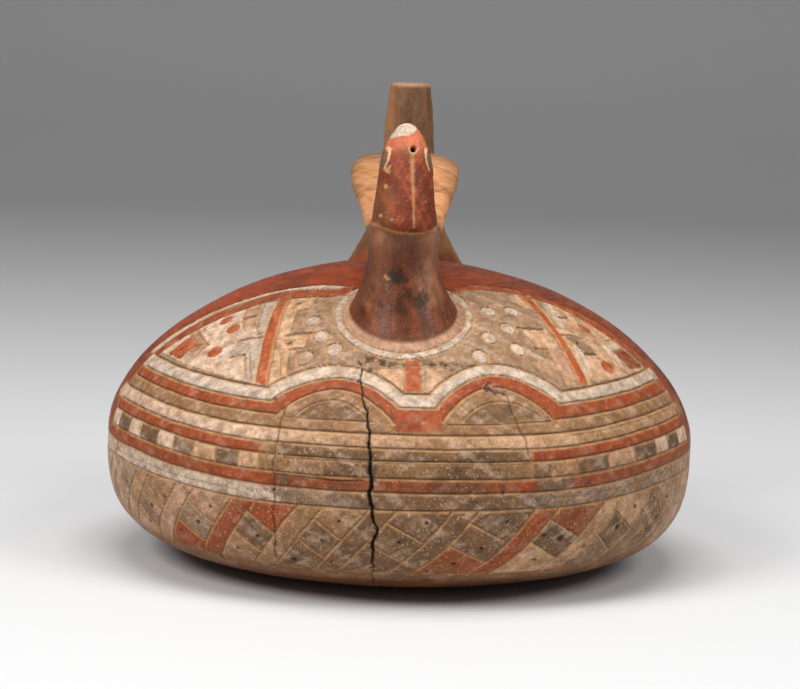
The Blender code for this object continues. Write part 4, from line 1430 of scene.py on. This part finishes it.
def slipped_clay():
    """Burnished clay with matt painted slips, worn, flecked with temper, dusty in the cuts with painted
    shadow on their upper walls and painted light on their lower edges, and with painted shade inside the
    head's vent hole.
    """
    material = bpy.data.materials.new("slipped_and_burnished_clay")
    material.use_nodes = True
    nodes = Nodes(material)
    shader = material.node_tree.nodes["Principled BSDF"]
    place = nodes.add("ShaderNodeTexCoord").outputs["Object"]
    pigment, wrap, marks = (nodes.attribute(name) for name in ("pigment", "wrap", "marks"))
    clean, cover = pigment["Color"], pigment["Alpha"]
    around_piece, wear = wrap["Vector"], wrap["Alpha"]
    groove, loss, crack = nodes.add("ShaderNodeSeparateColor", {"Color": marks["Color"]}).outputs
    pale = marks["Alpha"]

    broad = nodes.cloud(place, 30, 3.0)
    patchy = nodes.cloud(place, 105, 5.0, 0.65)
    smudge = nodes.cloud(nodes.moved(place, 3.1), 190, 4.0, 0.65)
    mottle = nodes.cloud(place, 330, 5.0, 0.7)
    grit = nodes.cloud(place, 1250, 3.0, 0.65)
    crumbs = nodes.cloud(nodes.moved(place, 7.7), 1000, 3.0, 0.65)
    brushed = nodes.cloud(nodes.stretched(around_piece, (20, 20, 130)), 1.0, 6.0, 0.68)
    stroke = nodes.cloud(nodes.stretched(around_piece, (30, 30, 640)), 1.0, 3.0, 0.6)

    burnished = nodes.mix(nodes.between(brushed, 0.48, 0.66, 0.0, 0.55), clean,
                          nodes.mix(0.5, clean, linear("burnish_glow")))
    for cloud, low, high, most in ((brushed, 0.52, 0.34, 0.48), (smudge, 0.50, 0.66, 0.35),
                                   (broad, 0.54, 0.68, 0.50)):
        burnished = nodes.mix(nodes.between(cloud, low, high, 0.0, most), burnished, linear("dark_burnish"))
    painted = nodes.mix(1.0, clean, nodes.between(smudge, 0.38, 0.62, 0.74, 1.04), "MULTIPLY")
    painted = nodes.mix(1.0, painted, nodes.between(mottle, 0.36, 0.64, 0.76, 1.12), "MULTIPLY")
    stain = nodes.times(nodes.between(patchy, 0.50, 0.64), nodes.reckon("MULTIPLY_ADD", wear, 0.55, 0.12))
    painted = nodes.mix(stain, painted, linear("earth"))
    greyed = nodes.times(nodes.between(smudge, 0.52, 0.62), nodes.times(wear, 0.46))
    painted = nodes.mix(greyed, painted, nodes.mix(0.65, painted, linear("smoke")))
    surface = nodes.mix(cover, burnished, painted)
    fleck = nodes.times(nodes.between(crumbs, 0.55, 0.66), nodes.times(wear, 0.46))
    fleck = nodes.times(fleck, nodes.between(mottle, 0.44, 0.56, 0.25, 1.0))
    speck = nodes.times(nodes.between(grit, 0.53, 0.66), nodes.reckon("MULTIPLY_ADD", wear, 0.36, 0.16))
    chipped = nodes.mix(nodes.between(mottle, 0.44, 0.58), linear("dirt_and_cut_shadow"), linear("ground"))
    # painted light and shade of the cuts: the pale edge is clay dust with painted light, the dark cut is
    # dust with painted shadow; the crack channel also darkens the inside of the vent hole as painted shade
    pale_edge = nodes.times(pale, nodes.between(mottle, 0.36, 0.56, 0.55, 0.95))
    dust_and_shadow_in_cut = nodes.times(groove, nodes.between(mottle, 0.40, 0.60, 0.70, 0.98))
    for share, colour in ((fleck, linear("fleck")), (speck, linear("dirt_and_cut_shadow")),
                          (pale_edge, linear("cut_clay_and_lit_edge")), (dust_and_shadow_in_cut, linear("dirt_and_cut_shadow")),
                          (nodes.times(loss, 0.80), chipped), (crack, linear("soot_and_hole_shade") * 0.6)):
        surface = nodes.mix(share, surface, colour)
    nodes.feed(shader.inputs["Base Color"], surface)

    matt = nodes.between(mottle, 0.3, 0.7, 0.60, 0.82)
    polished = nodes.between(stroke, 0.35, 0.65, 0.30, 0.50)
    rough = nodes.reckon("ADD", nodes.times(matt, cover),
                         nodes.times(polished, nodes.reckon("SUBTRACT", 1.0, cover)))
    rough = nodes.reckon("MAXIMUM", rough, nodes.times(groove, 0.85))
    nodes.feed(shader.inputs["Roughness"], rough)
    shader.inputs["Specular IOR Level"].default_value = 0.27

    relief = nodes.times(mottle, 0.50)
    for cloud, share in ((grit, 0.30), (stroke, 0.35), (patchy, 0.60)):
        relief = nodes.reckon("ADD", relief, nodes.times(cloud, share))
    bump = nodes.add("ShaderNodeBump", {"Height": relief, "Strength": 0.55, "Distance": 0.0007})
    nodes.feed(shader.inputs["Normal"], bump.outputs["Normal"])
    return material


def studio():
    """Plain pale sweep of floor and backdrop, with soft lights to both sides and above."""
    bm = bmesh.new()
    outline = [(-3.0, 0.0), (2.2, 0.0), (2.7, 0.07), (3.1, 0.30), (3.35, 0.75), (3.4, 1.4), (3.4, 3.2)]
    verts = [bm.verts.new((-5.0, y, z)) for y, z in outline]
    edges = [bm.edges.new(pair) for pair in zip(verts[:-1], verts[1:])]
    grown = bmesh.ops.extrude_edge_only(bm, edges=edges)
    for item in grown["geom"]:
        if isinstance(item, bmesh.types.BMVert):
            item.co.x = 5.0
    bmesh.ops.recalc_face_normals(bm, faces=bm.faces)
    floor = as_object("studio_floor", bm)
    floor.data.shade_smooth()
    paint = bpy.data.materials.new("pale_floor")
    paint.use_nodes = True
    shader = paint.node_tree.nodes["Principled BSDF"]
    shader.inputs["Base Color"].default_value = (0.66, 0.66, 0.66, 1.0)
    shader.inputs["Roughness"].default_value = 0.7
    floor.data.materials.append(paint)
    lamp_target = (0, 0, 0.08)
    lamps = (
        ("left_softbox", (-0.95, -0.95, 1.15), 0.7, 18.5),
        ("right_softbox", (1.05, -0.75, 1.15), 0.7, 12.5),
        ("top_softbox", (0.0, -0.30, 1.45), 0.9, 14.5),
    )
    for name, place, size, power in lamps:
        light = bpy.data.lights.new(name, "AREA")
        light.size = size
        light.energy = power
        lamp = in_scene(name, light)
        lamp.location = place
        aim = Vector(lamp_target) - Vector(place)
        lamp.rotation_euler = aim.to_track_quat("-Z", "Y").to_euler()
    world = bpy.data.worlds.new("studio_air")
    world.use_nodes = True
    world.node_tree.nodes["Background"].inputs["Color"].default_value = (0.55, 0.55, 0.56, 1.0)
    world.node_tree.nodes["Background"].inputs["Strength"].default_value = 0.28
    bpy.context.scene.world = world
    bpy.context.scene.view_settings.view_transform = "Standard"


def camera():
    """Camera at the photograph's viewing angle: a little above the object, and slightly rolled."""
    lens = bpy.data.cameras.new("camera")
    lens.sensor_width = 36.0
    lens.lens = 116.6
    lens.clip_end = 20.0
    stand = (-0.0011, -1.150, 0.2358)
    look_down = 0.122
    roll = 0.0317
    item = in_scene("camera", lens)
    item.matrix_world = (Matrix.Translation(stand) @ Matrix.Rotation(math.pi / 2 - look_down, 4, "X")
                         @ Matrix.Rotation(roll, 4, "Z"))
    bpy.context.scene.camera = item


def main():
    clay = slipped_clay()
    body = body_piece()
    necks = neck_piece()
    for piece in (body, necks):
        piece.data.materials.clear()
        piece.data.materials.append(clay)
        piece.data.shade_smooth()
        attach(piece, "root")
    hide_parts("spouted_vessel")
    studio()
    camera()


main()
